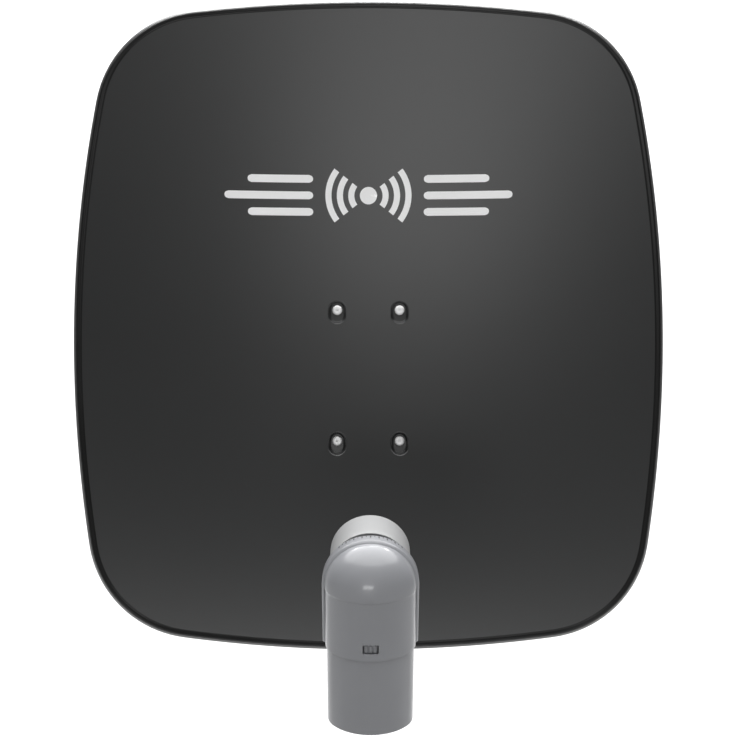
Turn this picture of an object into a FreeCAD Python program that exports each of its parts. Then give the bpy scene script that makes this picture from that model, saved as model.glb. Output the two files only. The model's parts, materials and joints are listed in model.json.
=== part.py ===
import FreeCAD, Part
import math
import os
import re
import Sketcher

# Offset satellite dish with a four-output feed head on a tilting mast bracket. Millimetres throughout.
# World frame: origin on the mast axis in the middle of the clamp, +Z up the mast, -Y to the sky side.
# "Face" frame: the plane across the reflector rim, X across, Z up the face, -Y out of the face.
# "Feed" frame: horn axis along Y, the feed centre at Y = 0 and the housing on the -Y side.
# "Arm" frame: the feed arm along Y, starting under the lower rim and running to -Y.

DIMENSIONS = [
    # name, value, meaning
    ("focal", 365, "focal length of the parent paraboloid"),
    ("offset_angle", 24.2, "tilt of the rim plane against the beam axis, degrees"),
    ("vertex_drop", 354.5, "paraboloid vertex below the rim centre, along the face"),
    ("vertex_front", 10.1, "paraboloid vertex in front of the rim plane"),
    ("ring_inner", 8, "inner radius of the revolved paraboloid blank"),
    ("ring_outer", 730, "outer radius of the revolved paraboloid blank"),
    ("sheet", 1.3, "reflector sheet, measured along the beam axis"),
    ("half_width", 303, "outline half width"),
    ("half_height", 333.6, "outline half height"),
    ("side_low", 13, "widest line below the rim centre"),
    ("side_radius", 1130, "radius of the left and right edges"),
    ("top_radius", 1185, "radius of the top edge"),
    ("bottom_radius", 1095, "radius of the bottom edge"),
    ("corner_radius", 118, "radius of the four corners"),
    ("rim_width", 10, "rolled rim, from crease to outer edge"),
    ("rim_flange", 4.2, "flat part of the rolled rim"),
    ("rim_skirt", 8.5, "depth of the turned-back skirt"),
    ("face_y", -215, "rim plane in the world"),
    ("face_z", 52, "rim centre above the clamp centre"),
    ("pocket_floor", 59, "screw pocket floors behind the rim plane"),
    ("pocket_w", 18, "screw pocket width"),
    ("pocket_long", 23, "screw pocket height"),
    ("screw_x", 33, "reflector screws, half spacing across"),
    ("screw_z", 69.3, "reflector screws, half spacing along the face"),
    ("screw_up", 2.5, "screw above the middle of its pocket"),
    ("plate", 3, "steel of the brackets"),
    ("gap", 0.3, "clearance between parts that move on each other"),
    ("pole_r", 24.15, "mast radius, 48.3 mm tube"),
    ("pivot_y", -92, "elevation axis"),
    ("tilt_x", 44.7, "outer half width of the reflector bracket"),
    ("tilt_top", 98, "upper end of the reflector bracket"),
    ("tilt_low", -118, "lower end of the reflector bracket"),
    ("tilt_back", -70, "rear end of the reflector bracket cheeks"),
    ("yoke_x", 48, "outer half width of the mast yoke"),
    ("yoke_half", 60, "half height of the mast yoke"),
    ("yoke_front", -146, "front end of the mast yoke cheeks"),
    ("yoke_web", -37, "rear face of the mast yoke web"),
    ("yoke_nose", 50, "rounding of the yoke cheeks"),
    ("lock_r", 42, "elevation slot radius about the pivot"),
    ("lock_half", 4.4, "elevation slot half width"),
    ("tilt_min", -9.2, "lowest elevation against rest, degrees"),
    ("tilt_max", 35.8, "highest elevation against rest, degrees"),
    ("bolt_r", 4, "M8 shank"),
    ("bolt_hole", 4.4, "hole for M8"),
    ("bolt_head", 5.3, "M8 head height"),
    ("bolt_key", 7.5, "M8 corner radius of head and nut"),
    ("bolt_nut", 6.5, "M8 nut height"),
    ("washer_r", 8, "M8 washer radius"),
    ("washer_t", 1.6, "washer thickness"),
    ("pivot_r", 5, "M10 shank"),
    ("pivot_key", 9.2, "M10 corner radius of head and nut"),
    ("pivot_washer", 10.2, "M10 washer radius"),
    ("small_r", 3, "M6 shank"),
    ("small_hole", 3.3, "hole for M6"),
    ("small_head", 5.25, "M6 button head radius"),
    ("small_rise", 3.3, "M6 button head height"),
    ("small_key", 5.77, "M6 nut corner radius"),
    ("small_nut", 5, "M6 nut height"),
    ("small_washer", 6.2, "M6 washer radius"),
    ("clamp_x", 33, "clamp bolts from the mast axis"),
    ("clamp_z", 40, "clamp jaws above and below the clamp centre"),
    ("clamp_end", 58, "free end of the clamp bolts"),
    ("jaw_x", 42, "jaw half width"),
    ("jaw_half", 14, "jaw half height"),
    ("jaw_split", 6, "jaw edge to the mast axis"),
    ("jaw_ear", 14, "rear face of the jaw ears"),
    ("jaw_back", 34, "rear face of the jaw hump"),
    ("strut_x", 17.5, "arm strut half width"),
    ("strut_t", 2.5, "arm strut sheet"),
    ("strut_top", -8, "upper end of the arm strut"),
    ("strut_low", -358, "lower end of the arm strut"),
    ("strut_rear", -123, "rear edge of the arm strut"),
    ("strut_fork", -316, "strut web ends here and leaves a fork"),
    ("strut_bolt_a", -48, "upper strut bolt"),
    ("strut_bolt_b", -103, "lower strut bolt"),
    ("arm_drop", 362, "arm line below the rim centre at the rim plane"),
    ("arm_rise", 19, "arm slope, degrees"),
    ("arm_x", 15, "arm half width"),
    ("arm_h", 11, "arm half height"),
    ("arm_wall", 1.8, "arm wall"),
    ("arm_start", 95, "arm behind the rim plane"),
    ("arm_end", 345, "arm end in front of the rim plane"),
    ("arm_bolt_a", 74, "front arm bolt behind the rim plane"),
    ("arm_bolt_b", 90, "rear arm bolt behind the rim plane"),
    ("tongue_end", 376, "holder tongue end in front of the rim plane"),
    ("tongue_start", 296, "holder tongue start in front of the rim plane"),
    ("focus_at", 322, "focus screw in front of the rim plane"),
    ("focus_slot", 16, "half length of the slot for the focus screw"),
    ("feed_front", 336, "feed centre in front of the rim plane"),
    ("feed_drop", 191, "feed centre below the rim centre"),
    ("horn_tilt", 18, "horn axis against the face normal, degrees"),
    ("cap_r", 31.5, "feed cap radius"),
    ("cap_front", 7, "feed cap face, in front of the feed centre"),
    ("cap_rear", 30, "feed cap rear edge, behind the feed centre"),
    ("horn_r", 27.2, "horn outer radius"),
    ("tube_r", 16.7, "waveguide tube radius"),
    ("bore_r", 9.5, "waveguide bore radius"),
    ("tube_end", 49.8, "rear end of the waveguide tube"),
    ("neck_r", 20, "neck radius"),
    ("neck_fit", 20.1, "holder bore radius"),
    ("ring_r", 25, "holder ring radius"),
    ("ring_front", 31.5, "holder ring, side towards the reflector"),
    ("ring_rear", 41.5, "holder ring, side towards the housing"),
    ("ear_x", 35, "holder ear end"),
    ("ear_t", 7, "holder ear height"),
    ("holder_screw_x", 30, "holder screws from the horn axis"),
    ("shell_rear", 44, "rear face of the housing"),
    ("shell_split", 54, "front edge of the rear shell"),
    ("shell_lap", 50, "rear edge of the front shell, inside the rear shell"),
    ("shell_side", 59, "widest line of the front shell, where its flank arcs start"),
    ("shell_bend", 22, "flank arc radius of the front shell"),
    ("shell_front", 87, "front face of the housing"),
    ("shell_low", -48, "lower edge of the front shell"),
    ("shell_x", 34.8, "front shell half width and dome radius"),
    ("shell_wall", 1.5, "front shell wall"),
    ("band_x", 36.9, "rear shell radius about the horn axis"),
    ("band_foot", 36.5, "rear shell half width at its lower edge"),
    ("band_low", -48, "lower edge of the rear shell"),
    ("band_wall", 1.4, "rear shell wall"),
    ("boss_x", 22, "housing screws from the middle"),
    ("boss_z", 20, "housing screws above the horn axis"),
    ("case_x", 28, "inner casing half width"),
    ("case_rear", 50, "inner casing, side towards the horn"),
    ("case_front", 66, "inner casing open side"),
    ("case_top", 13, "inner casing top"),
    ("case_low", -80, "inner casing bottom"),
    ("case_wall", 2.5, "inner casing wall"),
    ("f_pitch", 14.5, "spacing of the F sockets"),
    ("f_r", 4.76, "F socket thread radius, 3/8 inch"),
    ("f_y", -58, "F socket row"),
    ("f_hex", 3.5, "F socket from the casing to the thread"),
    ("f_seal", 0.8, "flat seal under the F socket"),
    ("f_long", 11.5, "F socket thread length"),
    ("cover_x", 33, "sliding cover half width"),
    ("cover_rear", 47, "sliding cover rear face"),
    ("cover_front", 85.2, "sliding cover front face"),
    ("cover_top", -43, "sliding cover top edge"),
    ("cover_low", -111.5, "sliding cover bottom edge"),
    ("cover_wall", 1.6, "sliding cover wall"),
    ("window_x", 6, "latch window half width"),
    ("window_top", -34.3, "latch window upper edge"),
    ("window_low", -41.7, "latch window lower edge"),
]

doc = FreeCAD.newDocument("dish")
sheet = doc.addObject("Spreadsheet::Sheet", "dims")
for row, (alias, value, meaning) in enumerate(DIMENSIONS, start=1):
    sheet.set(f"A{row}", meaning)
    sheet.set(f"B{row}", str(value))
    sheet.setAlias(f"B{row}", alias)
doc.recompute()
NAMES = {row[0] for row in DIMENSIONS}
X_AXIS = FreeCAD.Vector(1, 0, 0)
Y_AXIS = FreeCAD.Vector(0, 1, 0)
Z_AXIS = FreeCAD.Vector(0, 0, 1)


# ---------------------------------------------------------------- helpers

def cell(text):
    """An expression over the sheet, from one written with bare cell names."""
    return re.sub(r"[a-z_]\w*", lambda m: "dims." + m[0] if m[0] in NAMES else m[0], str(text))


def val(text):
    """The number an expression over the sheet gives."""
    return float(sheet.evalExpression(cell(text)))


def vec(x, y, z):
    return FreeCAD.Vector(val(x), val(y), val(z))


WORLD = FreeCAD.Placement()
FACE = FreeCAD.Placement(vec(0, "face_y", "face_z"), FreeCAD.Rotation())
FEED = FreeCAD.Placement(vec(0, "face_y - feed_front", "face_z - feed_drop"),
                         FreeCAD.Rotation(X_AXIS, val("horn_tilt")))
ARM = FreeCAD.Placement(vec(0, "face_y", "face_z - arm_drop"),
                        FreeCAD.Rotation(X_AXIS, -val("arm_rise")))
TURN = {
    "+z": FreeCAD.Rotation(),
    "-z": FreeCAD.Rotation(X_AXIS, 180),
    "+y": FreeCAD.Rotation(X_AXIS, -90),
    "-y": FreeCAD.Rotation(X_AXIS, 90),
    "+x": FreeCAD.Rotation(Y_AXIS, 90),
    "-x": FreeCAD.Rotation(Y_AXIS, -90),
}
SIDES = (-1, 1)
ARM_BOLTS = ("arm_bolt_a", "arm_bolt_b")
BOSSES = [(f"{sx} * boss_x", "boss_z") for sx in SIDES]
finished = []


def finish(obj, label, frame=WORLD):
    """Names a finished sub-part and puts it in its frame."""
    obj.Label = label
    obj.Placement = frame
    finished.append(obj)
    return obj


def primitive(kind, at, turn="+z", **sizes):
    """A Part primitive with every size and its position bound to the sheet."""
    obj = doc.addObject("Part::" + kind, kind)
    for prop, text in sizes.items():
        obj.setExpression(prop, cell(text))
    obj.Placement = FreeCAD.Placement(vec(*at), TURN[turn])
    for axis, text in zip("xyz", at):
        obj.setExpression("Placement.Base." + axis, cell(text))
    return obj


def rod(at, turn, radius, length):
    return primitive("Cylinder", at, turn, Radius=radius, Height=length)


def hexagon(at, turn, radius, length):
    obj = primitive("Prism", at, turn, Circumradius=radius, Height=length)
    obj.Polygon = 6
    return obj


def block(x0, x1, y0, y1, z0, z1):
    return primitive("Box", (x0, y0, z0), Length=f"({x1}) - ({x0})", Width=f"({y1}) - ({y0})",
                     Height=f"({z1}) - ({z0})")


def fuse(*shapes):
    if len(shapes) == 1:
        return shapes[0]
    obj = doc.addObject("Part::MultiFuse", "Fusion")
    obj.Shapes = list(shapes)
    return obj


def cut(base, *tools):
    obj = doc.addObject("Part::Cut", "Cut")
    obj.Base = base
    obj.Tool = fuse(*tools)
    return obj


def group(solids):
    """Several identical solids of one sub-part, kept as separate solids."""
    obj = doc.addObject("Part::Compound", "Set")
    obj.Links = list(solids)
    return obj


def along(at, turn, distance):
    """The point a distance further along the turn direction, as expressions."""
    sign = turn[0]
    axis = "xyz".index(turn[1])
    return tuple(f"({text}) {sign} ({distance})" if i == axis else text for i, text in enumerate(at))


def hex_bolt(at, turn, radius, key, head, length):
    """Hexagon head on the near side of the seat point, shank running on along the turn direction."""
    start = along(at, turn, f"0 - ({head})")
    return fuse(hexagon(start, turn, key, head), rod(at, turn, radius, length))


def dome_bolt(at, turn, radius, head_r, head, length):
    """Low conical dome head on the near side of the seat point, shank running on."""
    back = {"+": "-", "-": "+"}[turn[0]] + turn[1]
    crown = primitive("Cone", at, back, Radius1=head_r, Radius2=f"0.6 * ({head_r})", Height=head)
    return fuse(crown, rod(at, turn, radius, length))


def nut(at, turn, key, height, bore):
    return cut(hexagon(at, turn, key, height), rod(at, turn, bore, height))


def washer(at, turn, radius, bore, thick="washer_t"):
    return cut(rod(at, turn, radius, thick), rod(at, turn, bore, thick))


def new_body(name):
    return doc.addObject("PartDesign::Body", name)


def sketch(body, plane, level="0"):
    """A sketch on one of the body's own origin planes, moved along the plane normal."""
    obj = body.newObject("Sketcher::SketchObject", "Sketch")
    origin = next(f for f in body.Origin.OriginFeatures if f.Role == plane)
    obj.AttachmentSupport = [(origin, "")]
    obj.MapMode = "FlatFace"
    obj.setExpression("AttachmentOffset.Base.z", cell(level))
    return obj


def add_polygon(sk, points):
    """A closed polygon whose corners are bound to the sheet."""
    first = sk.GeometryCount
    spots = [FreeCAD.Vector(val(a), val(b), 0) for a, b in points]
    count = len(spots)
    for i in range(count):
        sk.addGeometry(Part.LineSegment(spots[i], spots[(i + 1) % count]))
    for i in range(count):
        sk.addConstraint(Sketcher.Constraint("Coincident", first + i, 2, first + (i + 1) % count, 1))
    for i, pair in enumerate(points):
        for kind, text, number in zip(("DistanceX", "DistanceY"), pair, spots[i]):
            index = sk.addConstraint(Sketcher.Constraint(kind, -1, 1, first + i, 1, number))
            sk.setExpression(f"Constraints[{index}]", cell(text))


def add_circle(sk, x, y, radius):
    """A circle whose centre and radius are bound to the sheet."""
    centre = FreeCAD.Vector(val(x), val(y), 0)
    item = sk.addGeometry(Part.Circle(centre, FreeCAD.Vector(0, 0, 1), val(radius)))
    for kind, text, number in (("DistanceX", x, centre.x), ("DistanceY", y, centre.y)):
        index = sk.addConstraint(Sketcher.Constraint(kind, -1, 1, item, 3, number))
        sk.setExpression(f"Constraints[{index}]", cell(text))
    index = sk.addConstraint(Sketcher.Constraint("Radius", item, val(radius)))
    sk.setExpression(f"Constraints[{index}]", cell(radius))


def feature(body, kind, sk, length, **flags):
    """A Pad or Pocket of a sketch with its length bound to the sheet."""
    obj = body.newObject("PartDesign::" + kind, kind)
    obj.Profile = sk
    obj.setExpression("Length", cell(length))
    for prop, setting in flags.items():
        setattr(obj, prop, setting)
    sk.Visibility = False
    return obj


def through(body, plane, level, length, circles):
    """Round holes cut both ways from a level."""
    sk = sketch(body, plane, level)
    for x, y, radius in circles:
        add_circle(sk, x, y, radius)
    return feature(body, "Pocket", sk, length, Midplane=True)


def edges_where(obj, test):
    doc.recompute()
    return [f"Edge{i}" for i, edge in enumerate(obj.Shape.Edges, start=1) if test(edge)]


def faces_where(obj, test):
    doc.recompute()
    return [f"Face{i}" for i, face in enumerate(obj.Shape.Faces, start=1) if test(face)]


def fillet(body, base, radius, test):
    obj = body.newObject("PartDesign::Fillet", "Fillet")
    obj.Base = (base, edges_where(base, test))
    obj.setExpression("Radius", cell(radius))
    return obj


def hollow(body, base, wall, test):
    obj = body.newObject("PartDesign::Thickness", "Thickness")
    obj.Base = (base, faces_where(base, test))
    obj.setExpression("Value", cell(wall))
    obj.Reversed = True
    obj.Join = 0
    return obj


def near(number, text):
    return abs(number - val(text)) < 0.01


def is_line_along(edge, axis):
    """Whether an edge is straight and runs along one axis."""
    if not isinstance(edge.Curve, Part.Line):
        return False
    return abs(getattr(edge.tangentAt(edge.FirstParameter), axis)) > 0.999


# ---------------------------------------------------------------- reflector

def paraboloid_blank(front, back):
    """Ring of revolution between the paraboloid moved back by front and by back along its axis."""
    inner, outer, four_f = val("ring_inner"), val("ring_outer"), 4 * val("focal")

    def parabola(shift):
        radii = ((inner, inner ** 2), ((inner + outer) / 2, inner * outer), (outer, outer ** 2))
        curve = Part.BezierCurve()
        curve.setPoles([FreeCAD.Vector(0, -r, square / four_f - shift) for r, square in radii])
        return curve.toShape()

    upper, lower = parabola(front), parabola(back)
    ends = [Part.makeLine(upper.Vertexes[i].Point, lower.Vertexes[i].Point) for i in (0, 1)]
    wire = Part.Wire(Part.__sortEdges__([upper, lower] + ends))
    blank = Part.Face(wire).revolve(FreeCAD.Vector(0, 0, 0), FreeCAD.Vector(0, 0, 1), 360)
    blank.Placement = FreeCAD.Placement(
        FreeCAD.Vector(0, -val("vertex_front"), -val("vertex_drop")),
        FreeCAD.Rotation(X_AXIS, 90 - val("offset_angle")))
    return blank


def corner_centre(side_x, side_z, side_r, top_z, top_r, corner):
    """Centre of the corner arc that is tangent to a side arc and to the top or bottom arc."""
    reach_a, reach_b = side_r - corner, top_r - corner
    dx, dz = 0 - side_x, top_z - side_z
    dist = math.hypot(dx, dz)
    step = (reach_a ** 2 - reach_b ** 2 + dist ** 2) / (2 * dist)
    rise = math.sqrt(reach_a ** 2 - step ** 2)
    mid_x, mid_z = side_x + dx * step / dist, side_z + dz * step / dist
    spots = [(mid_x + k * rise * dz / dist, mid_z - k * rise * dx / dist) for k in (1, -1)]
    return max(spots, key=lambda p: p[0])


def beyond(start, end, radius):
    """The point at a radius from start, on the line through end."""
    length = math.hypot(end[0] - start[0], end[1] - start[1])
    return tuple(a + (b - a) * radius / length for a, b in zip(start, end))


def outline_wire(grow, level):
    """The rounded outline, grown by a distance, at a level in front of the rim plane."""
    side = (val("half_width - side_radius"), -val("side_low"))
    caps = ((val("half_height - top_radius"), val("top_radius")),
            (val("bottom_radius - half_height"), val("bottom_radius")))
    corner = val("corner_radius") + grow
    spots = []
    for cap_z, cap_r in caps:
        centre = corner_centre(*side, val("side_radius"), cap_z, cap_r, val("corner_radius"))
        to_cap = beyond((0, cap_z), centre, cap_r + grow)
        to_side = beyond(side, centre, val("side_radius") + grow)
        mid = beyond(centre, ((to_cap[0] + to_side[0]) / 2, (to_cap[1] + to_side[1]) / 2), corner)
        spots.append((to_cap, mid, to_side))
    (top_in, top_mid, top_out), (low_in, low_mid, low_out) = spots
    right = (val("half_width") + grow, side[1])
    summit, foot = (0, val("half_height") + grow), (0, -val("half_height") - grow)

    def arc(*trio):
        return Part.Arc(*[FreeCAD.Vector(x, -level, z) for x, z in trio]).toShape()

    def mirrored(trio):
        return [(-x, z) for x, z in reversed(trio)]

    right_side = [(top_in, top_mid, top_out), (top_out, right, low_out), (low_out, low_mid, low_in)]
    left_side = [mirrored(trio) for trio in reversed(right_side)]
    left_top, left_low = mirrored((top_in, top_in, top_in))[0], mirrored((low_in,) * 3)[0]
    chain = right_side + [(low_in, foot, left_low)] + left_side + [(left_top, summit, top_in)]
    return Part.Wire([arc(*trio) for trio in chain])


def outline_prism(grow):
    depth = 150
    face = Part.Face(outline_wire(grow, depth / 2))
    return face.extrude(FreeCAD.Vector(0, depth, 0))


def rim_ring(spine):
    """The rolled rim, a folded strip swept round the crease line."""
    width, flange, skirt, sheet_t = (val(n) for n in ("rim_width", "rim_flange", "rim_skirt", "sheet"))
    lap = 1.2
    section = [(-lap, -0.25), (flange, 1.0), (flange + 1.5, 0.3), (width, -skirt),
               (width - sheet_t, -skirt - 0.4), (flange + 0.6, -0.9), (flange - 0.4, -0.6), (-lap, -2.6)]
    start = spine.Edges[0].valueAt(spine.Edges[0].FirstParameter)
    tangent = spine.Edges[0].tangentAt(spine.Edges[0].FirstParameter)
    outward = FreeCAD.Vector(tangent.z, 0, -tangent.x).normalize()
    if outward.dot(FreeCAD.Vector(start.x, 0, start.z)) < 0:
        outward = -outward
    corners = [start + outward * r + FreeCAD.Vector(0, -n, 0) for r, n in section]
    profile = Part.makePolygon(corners + corners[:1])
    sweep = Part.BRepOffsetAPI.MakePipeShell(spine)
    sweep.setBiNormalMode(FreeCAD.Vector(0, 1, 0))
    sweep.add(profile)
    sweep.build()
    sweep.makeSolid()
    return sweep.shape()


def obround(x, z, half_w, half_long, front, back):
    """An upright obround prism between two distances behind the rim plane."""
    flat = half_long - half_w
    corners = [FreeCAD.Vector(x + sx * half_w, front, z + sz * flat)
               for sx, sz in ((-1, -1), (-1, 1), (1, 1), (1, -1))]
    top = FreeCAD.Vector(x, front, z + half_long)
    low = FreeCAD.Vector(x, front, z - half_long)
    wire = Part.Wire([Part.makeLine(corners[0], corners[1]), Part.Arc(corners[1], top, corners[2]).toShape(),
                      Part.makeLine(corners[2], corners[3]), Part.Arc(corners[3], low, corners[0]).toShape()])
    return Part.Face(wire).extrude(FreeCAD.Vector(0, back - front, 0))


def make_reflector():
    inside = outline_prism(-val("rim_width"))
    shell = paraboloid_blank(0, val("sheet")).common(inside)
    front = max(shell.Faces, key=lambda face: -face.CenterOfMass.y if face.Area > 1e5 else -1e9)
    rim = rim_ring(front.OuterWire)
    floor, sheet_t = val("pocket_floor"), val("sheet")
    half_w, half_long = val("pocket_w / 2"), val("pocket_long / 2")
    backing = paraboloid_blank(0.4 * sheet_t, 30)
    mouths, cups, holes = [], [], []
    for sx in SIDES:
        for sz in SIDES:
            x, z = sx * val("screw_x"), sz * val("screw_z") - val("face_z")
            middle = z - val("screw_up")
            mouths.append(obround(x, middle, half_w, half_long, 0, floor))
            wall = obround(x, middle, half_w + sheet_t, half_long + sheet_t, 0, floor + sheet_t)
            cups.append(wall.common(backing).cut(mouths[-1]))
            holes.append(Part.makeCylinder(val("small_hole"), 90, FreeCAD.Vector(x, 0, z), Y_AXIS))
    shell = shell.cut(Part.makeCompound(mouths)).fuse(cups + [rim]).cut(Part.makeCompound(holes))
    obj = doc.addObject("Part::Feature", "reflector")
    obj.Shape = shell.Solids[0] if len(shell.Solids) == 1 else shell
    return finish(obj, "reflector", FACE)


# ---------------------------------------------------------------- mast mount

def make_mast_yoke():
    body = new_body("mast_yoke")
    section = sketch(body, "XY_Plane", "0 - yoke_half")
    add_polygon(section, [
        ("-yoke_x", "yoke_front"), ("-yoke_x", "yoke_web"), ("yoke_x", "yoke_web"),
        ("yoke_x", "yoke_front"), ("yoke_x - plate", "yoke_front"), ("yoke_x - plate", "yoke_web - plate"),
        ("plate - yoke_x", "yoke_web - plate"), ("plate - yoke_x", "yoke_front")])
    pad = feature(body, "Pad", section, "2 * yoke_half")
    bend = fillet(body, pad, "2 * plate",
                  lambda e: is_line_along(e, "z") and near(e.CenterOfMass.y, "yoke_web"))
    fillet(body, bend, "yoke_nose",
           lambda e: is_line_along(e, "x") and near(e.CenterOfMass.y, "yoke_front"))
    through(body, "YZ_Plane", 0, "4 * yoke_x", [("pivot_y", 0, "pivot_r")])
    rows = [(f"{sx} * clamp_x", f"{sz} * clamp_z", "bolt_hole") for sx in SIDES for sz in SIDES]
    through(body, "XZ_Plane", "0 - yoke_web", "4 * plate", rows)
    slot = sketch(body, "YZ_Plane")
    add_slot(slot, "pivot_y", "lock_r", "lock_half", "tilt_min", "tilt_max")
    feature(body, "Pocket", slot, "4 * yoke_x", Midplane=True)
    return finish(body, "mast_yoke")


def add_slot(sk, centre_y, radius, half, low, high):
    """Curved slot about the pivot, measured from straight down towards the front."""
    middle = val(centre_y)

    def spot(reach, angle):
        turn = math.radians(angle)
        return FreeCAD.Vector(middle - reach * math.sin(turn), -reach * math.cos(turn), 0)

    r, w, a, b = val(radius), val(half), val(low), val(high)
    extra = math.degrees(w / r)
    arcs = [(spot(r + w, a), spot(r + w, (a + b) / 2), spot(r + w, b)),
            (spot(r + w, b), spot(r, b + extra), spot(r - w, b)),
            (spot(r - w, b), spot(r - w, (a + b) / 2), spot(r - w, a)),
            (spot(r - w, a), spot(r, a - extra), spot(r + w, a))]
    for trio in arcs:
        sk.addGeometry(Part.Arc(*trio))


def clamp_half(name, level, points):
    """Saddle or jaw: a cast block round the mast with its two bolt holes."""
    body = new_body(name)
    section = sketch(body, "XY_Plane", f"{level} - jaw_half")
    add_polygon(section, points)
    pad = feature(body, "Pad", section, "2 * jaw_half")
    fillet(body, pad, "plate / 2", lambda e: is_line_along(e, "z") and abs(e.CenterOfMass.y) > 10)
    through(body, "XY_Plane", level, "4 * jaw_half", [(0, 0, "pole_r")])
    through(body, "XZ_Plane", 0, "4 * jaw_back",
            [(f"{sx} * clamp_x", level, "bolt_hole") for sx in SIDES])
    return finish(body, name)


def make_clamps():
    saddle = [("-jaw_x", "-jaw_split"), ("jaw_x", "-jaw_split"), ("jaw_x", "-jaw_ear"),
              ("jaw_x - 8", "yoke_web"), ("8 - jaw_x", "yoke_web"), ("-jaw_x", "-jaw_ear")]
    jaw = [("-jaw_x", "jaw_split"), ("jaw_x", "jaw_split"), ("jaw_x", "jaw_ear"), (24.5, "jaw_ear"),
           (19, "jaw_back"), (-19, "jaw_back"), (-24.5, "jaw_ear"), ("-jaw_x", "jaw_ear")]
    for word, level in (("upper", "clamp_z"), ("lower", "0 - clamp_z")):
        clamp_half("saddle_" + word, level, saddle)
        clamp_half("jaw_" + word, level, jaw)
        seats = [(f"{sx} * clamp_x", "jaw_ear", level) for sx in SIDES]
        finish(group(washer(s, "+y", "washer_r", "bolt_hole") for s in seats), f"jaw_washers_{word}")
        finish(group(nut(along(s, "+y", "washer_t"), "+y", "bolt_key", "bolt_nut", "bolt_r + 0.1")
                     for s in seats), f"jaw_nuts_{word}")
    heads = [(f"{sx} * clamp_x", "yoke_web - plate", f"{sz} * clamp_z") for sx in SIDES for sz in SIDES]
    finish(group(hex_bolt(s, "+y", "bolt_r", "bolt_key", "bolt_head", "clamp_end - yoke_web + plate")
                 for s in heads), "clamp_bolts")


def make_pivots():
    bolts, washers, nuts = [], [], []
    for inward, side in (("-x", ""), ("+x", "-")):
        outside = (f"{side}(yoke_x + washer_t)", "pivot_y", 0)
        bolts.append(hex_bolt(outside, inward, "pivot_r", "pivot_key", "bolt_nut",
                              "yoke_x + washer_t - 28"))
        washers.append(washer(outside, inward, "pivot_washer", "pivot_r"))
        inside = (f"{side}(tilt_x - plate - gap)", "pivot_y", 0)
        washers.append(washer(inside, inward, "pivot_washer", "pivot_r"))
        nuts.append(nut(along(inside, inward, "washer_t"), inward, "pivot_key", 8, "pivot_r"))
    finish(group(bolts), "pivot_bolts")
    finish(group(washers), "pivot_washers")
    finish(group(nuts), "pivot_nuts")


def make_elevation_scale():
    """Thin sector plates between the pivot and the elevation slot, one on each yoke cheek."""
    plates = []
    for x in ("yoke_x", "0 - yoke_x - 0.5"):
        disc = primitive("Cylinder", (x, "pivot_y", 0), "+x", Radius=30, Height=0.5, Angle=68)
        disc.Placement.Rotation = TURN["+x"].multiply(FreeCAD.Rotation(Z_AXIS, -56))
        plates.append(cut(disc, rod((x, "pivot_y", 0), "+x", 18, 0.5)))
    finish(group(plates), "elevation_scales")


# ---------------------------------------------------------------- tilting part

def make_tilt_bracket():
    body = new_body("tilt_bracket")
    front = "face_y + pocket_floor + sheet"
    section = sketch(body, "XY_Plane", "tilt_low")
    add_polygon(section, [
        ("-tilt_x", front), ("tilt_x", front), ("tilt_x", "tilt_back"), ("tilt_x - plate", "tilt_back"),
        ("tilt_x - plate", front + " + plate"), ("plate - tilt_x", front + " + plate"),
        ("plate - tilt_x", "tilt_back"), ("-tilt_x", "tilt_back")])
    pad = feature(body, "Pad", section, "tilt_top - tilt_low")
    fillet(body, pad, "2 * plate", lambda e: is_line_along(e, "z") and near(e.CenterOfMass.y, front))
    flank = sketch(body, "YZ_Plane")
    rear = front + " + plate + 6"
    add_polygon(flank, [(rear, "tilt_top + 5"), (rear, "tilt_top - 6"), ("pivot_y - 6", 24),
                        ("tilt_back + 5", 16), ("tilt_back + 5", "tilt_top + 5")])
    feature(body, "Pocket", flank, "4 * tilt_x", Midplane=True)
    flank = sketch(body, "YZ_Plane")
    add_polygon(flank, [(rear, "tilt_low - 5"), (rear, "tilt_low + 6"), ("pivot_y - 10", "-lock_r - 14"),
                        ("pivot_y + 10", "-lock_r - 14"), ("tilt_back + 5", -20),
                        ("tilt_back + 5", "tilt_low - 5")])
    feature(body, "Pocket", flank, "4 * tilt_x", Midplane=True)
    through(body, "YZ_Plane", 0, "4 * tilt_x", [("pivot_y", 0, "pivot_r + 0.1"),
                                               ("pivot_y", "-lock_r", "bolt_r")])
    rows = [(f"{sx} * screw_x", f"{sz} * screw_z", "small_hole") for sx in SIDES for sz in SIDES]
    rows += [(0, "strut_bolt_a", "bolt_hole"), (0, "strut_bolt_b", "bolt_hole")]
    through(body, "XZ_Plane", f"0 - ({front})", "4 * plate", rows)
    return finish(body, "tilt_bracket")


def make_reflector_fixings():
    seats = [(f"{sx} * screw_x", "face_y + pocket_floor", f"{sz} * screw_z") for sx in SIDES for sz in SIDES]
    behind = "sheet + plate"
    finish(group(dome_bolt(s, "+y", "small_r", "small_head", "small_rise", 17) for s in seats),
           "reflector_screws")
    finish(group(washer(along(s, "+y", behind), "+y", "small_washer", "small_hole") for s in seats),
           "reflector_washers")
    finish(group(nut(along(s, "+y", behind + " + washer_t"), "+y", "small_key", "small_nut", "small_r")
                 for s in seats), "reflector_nuts")


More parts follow.
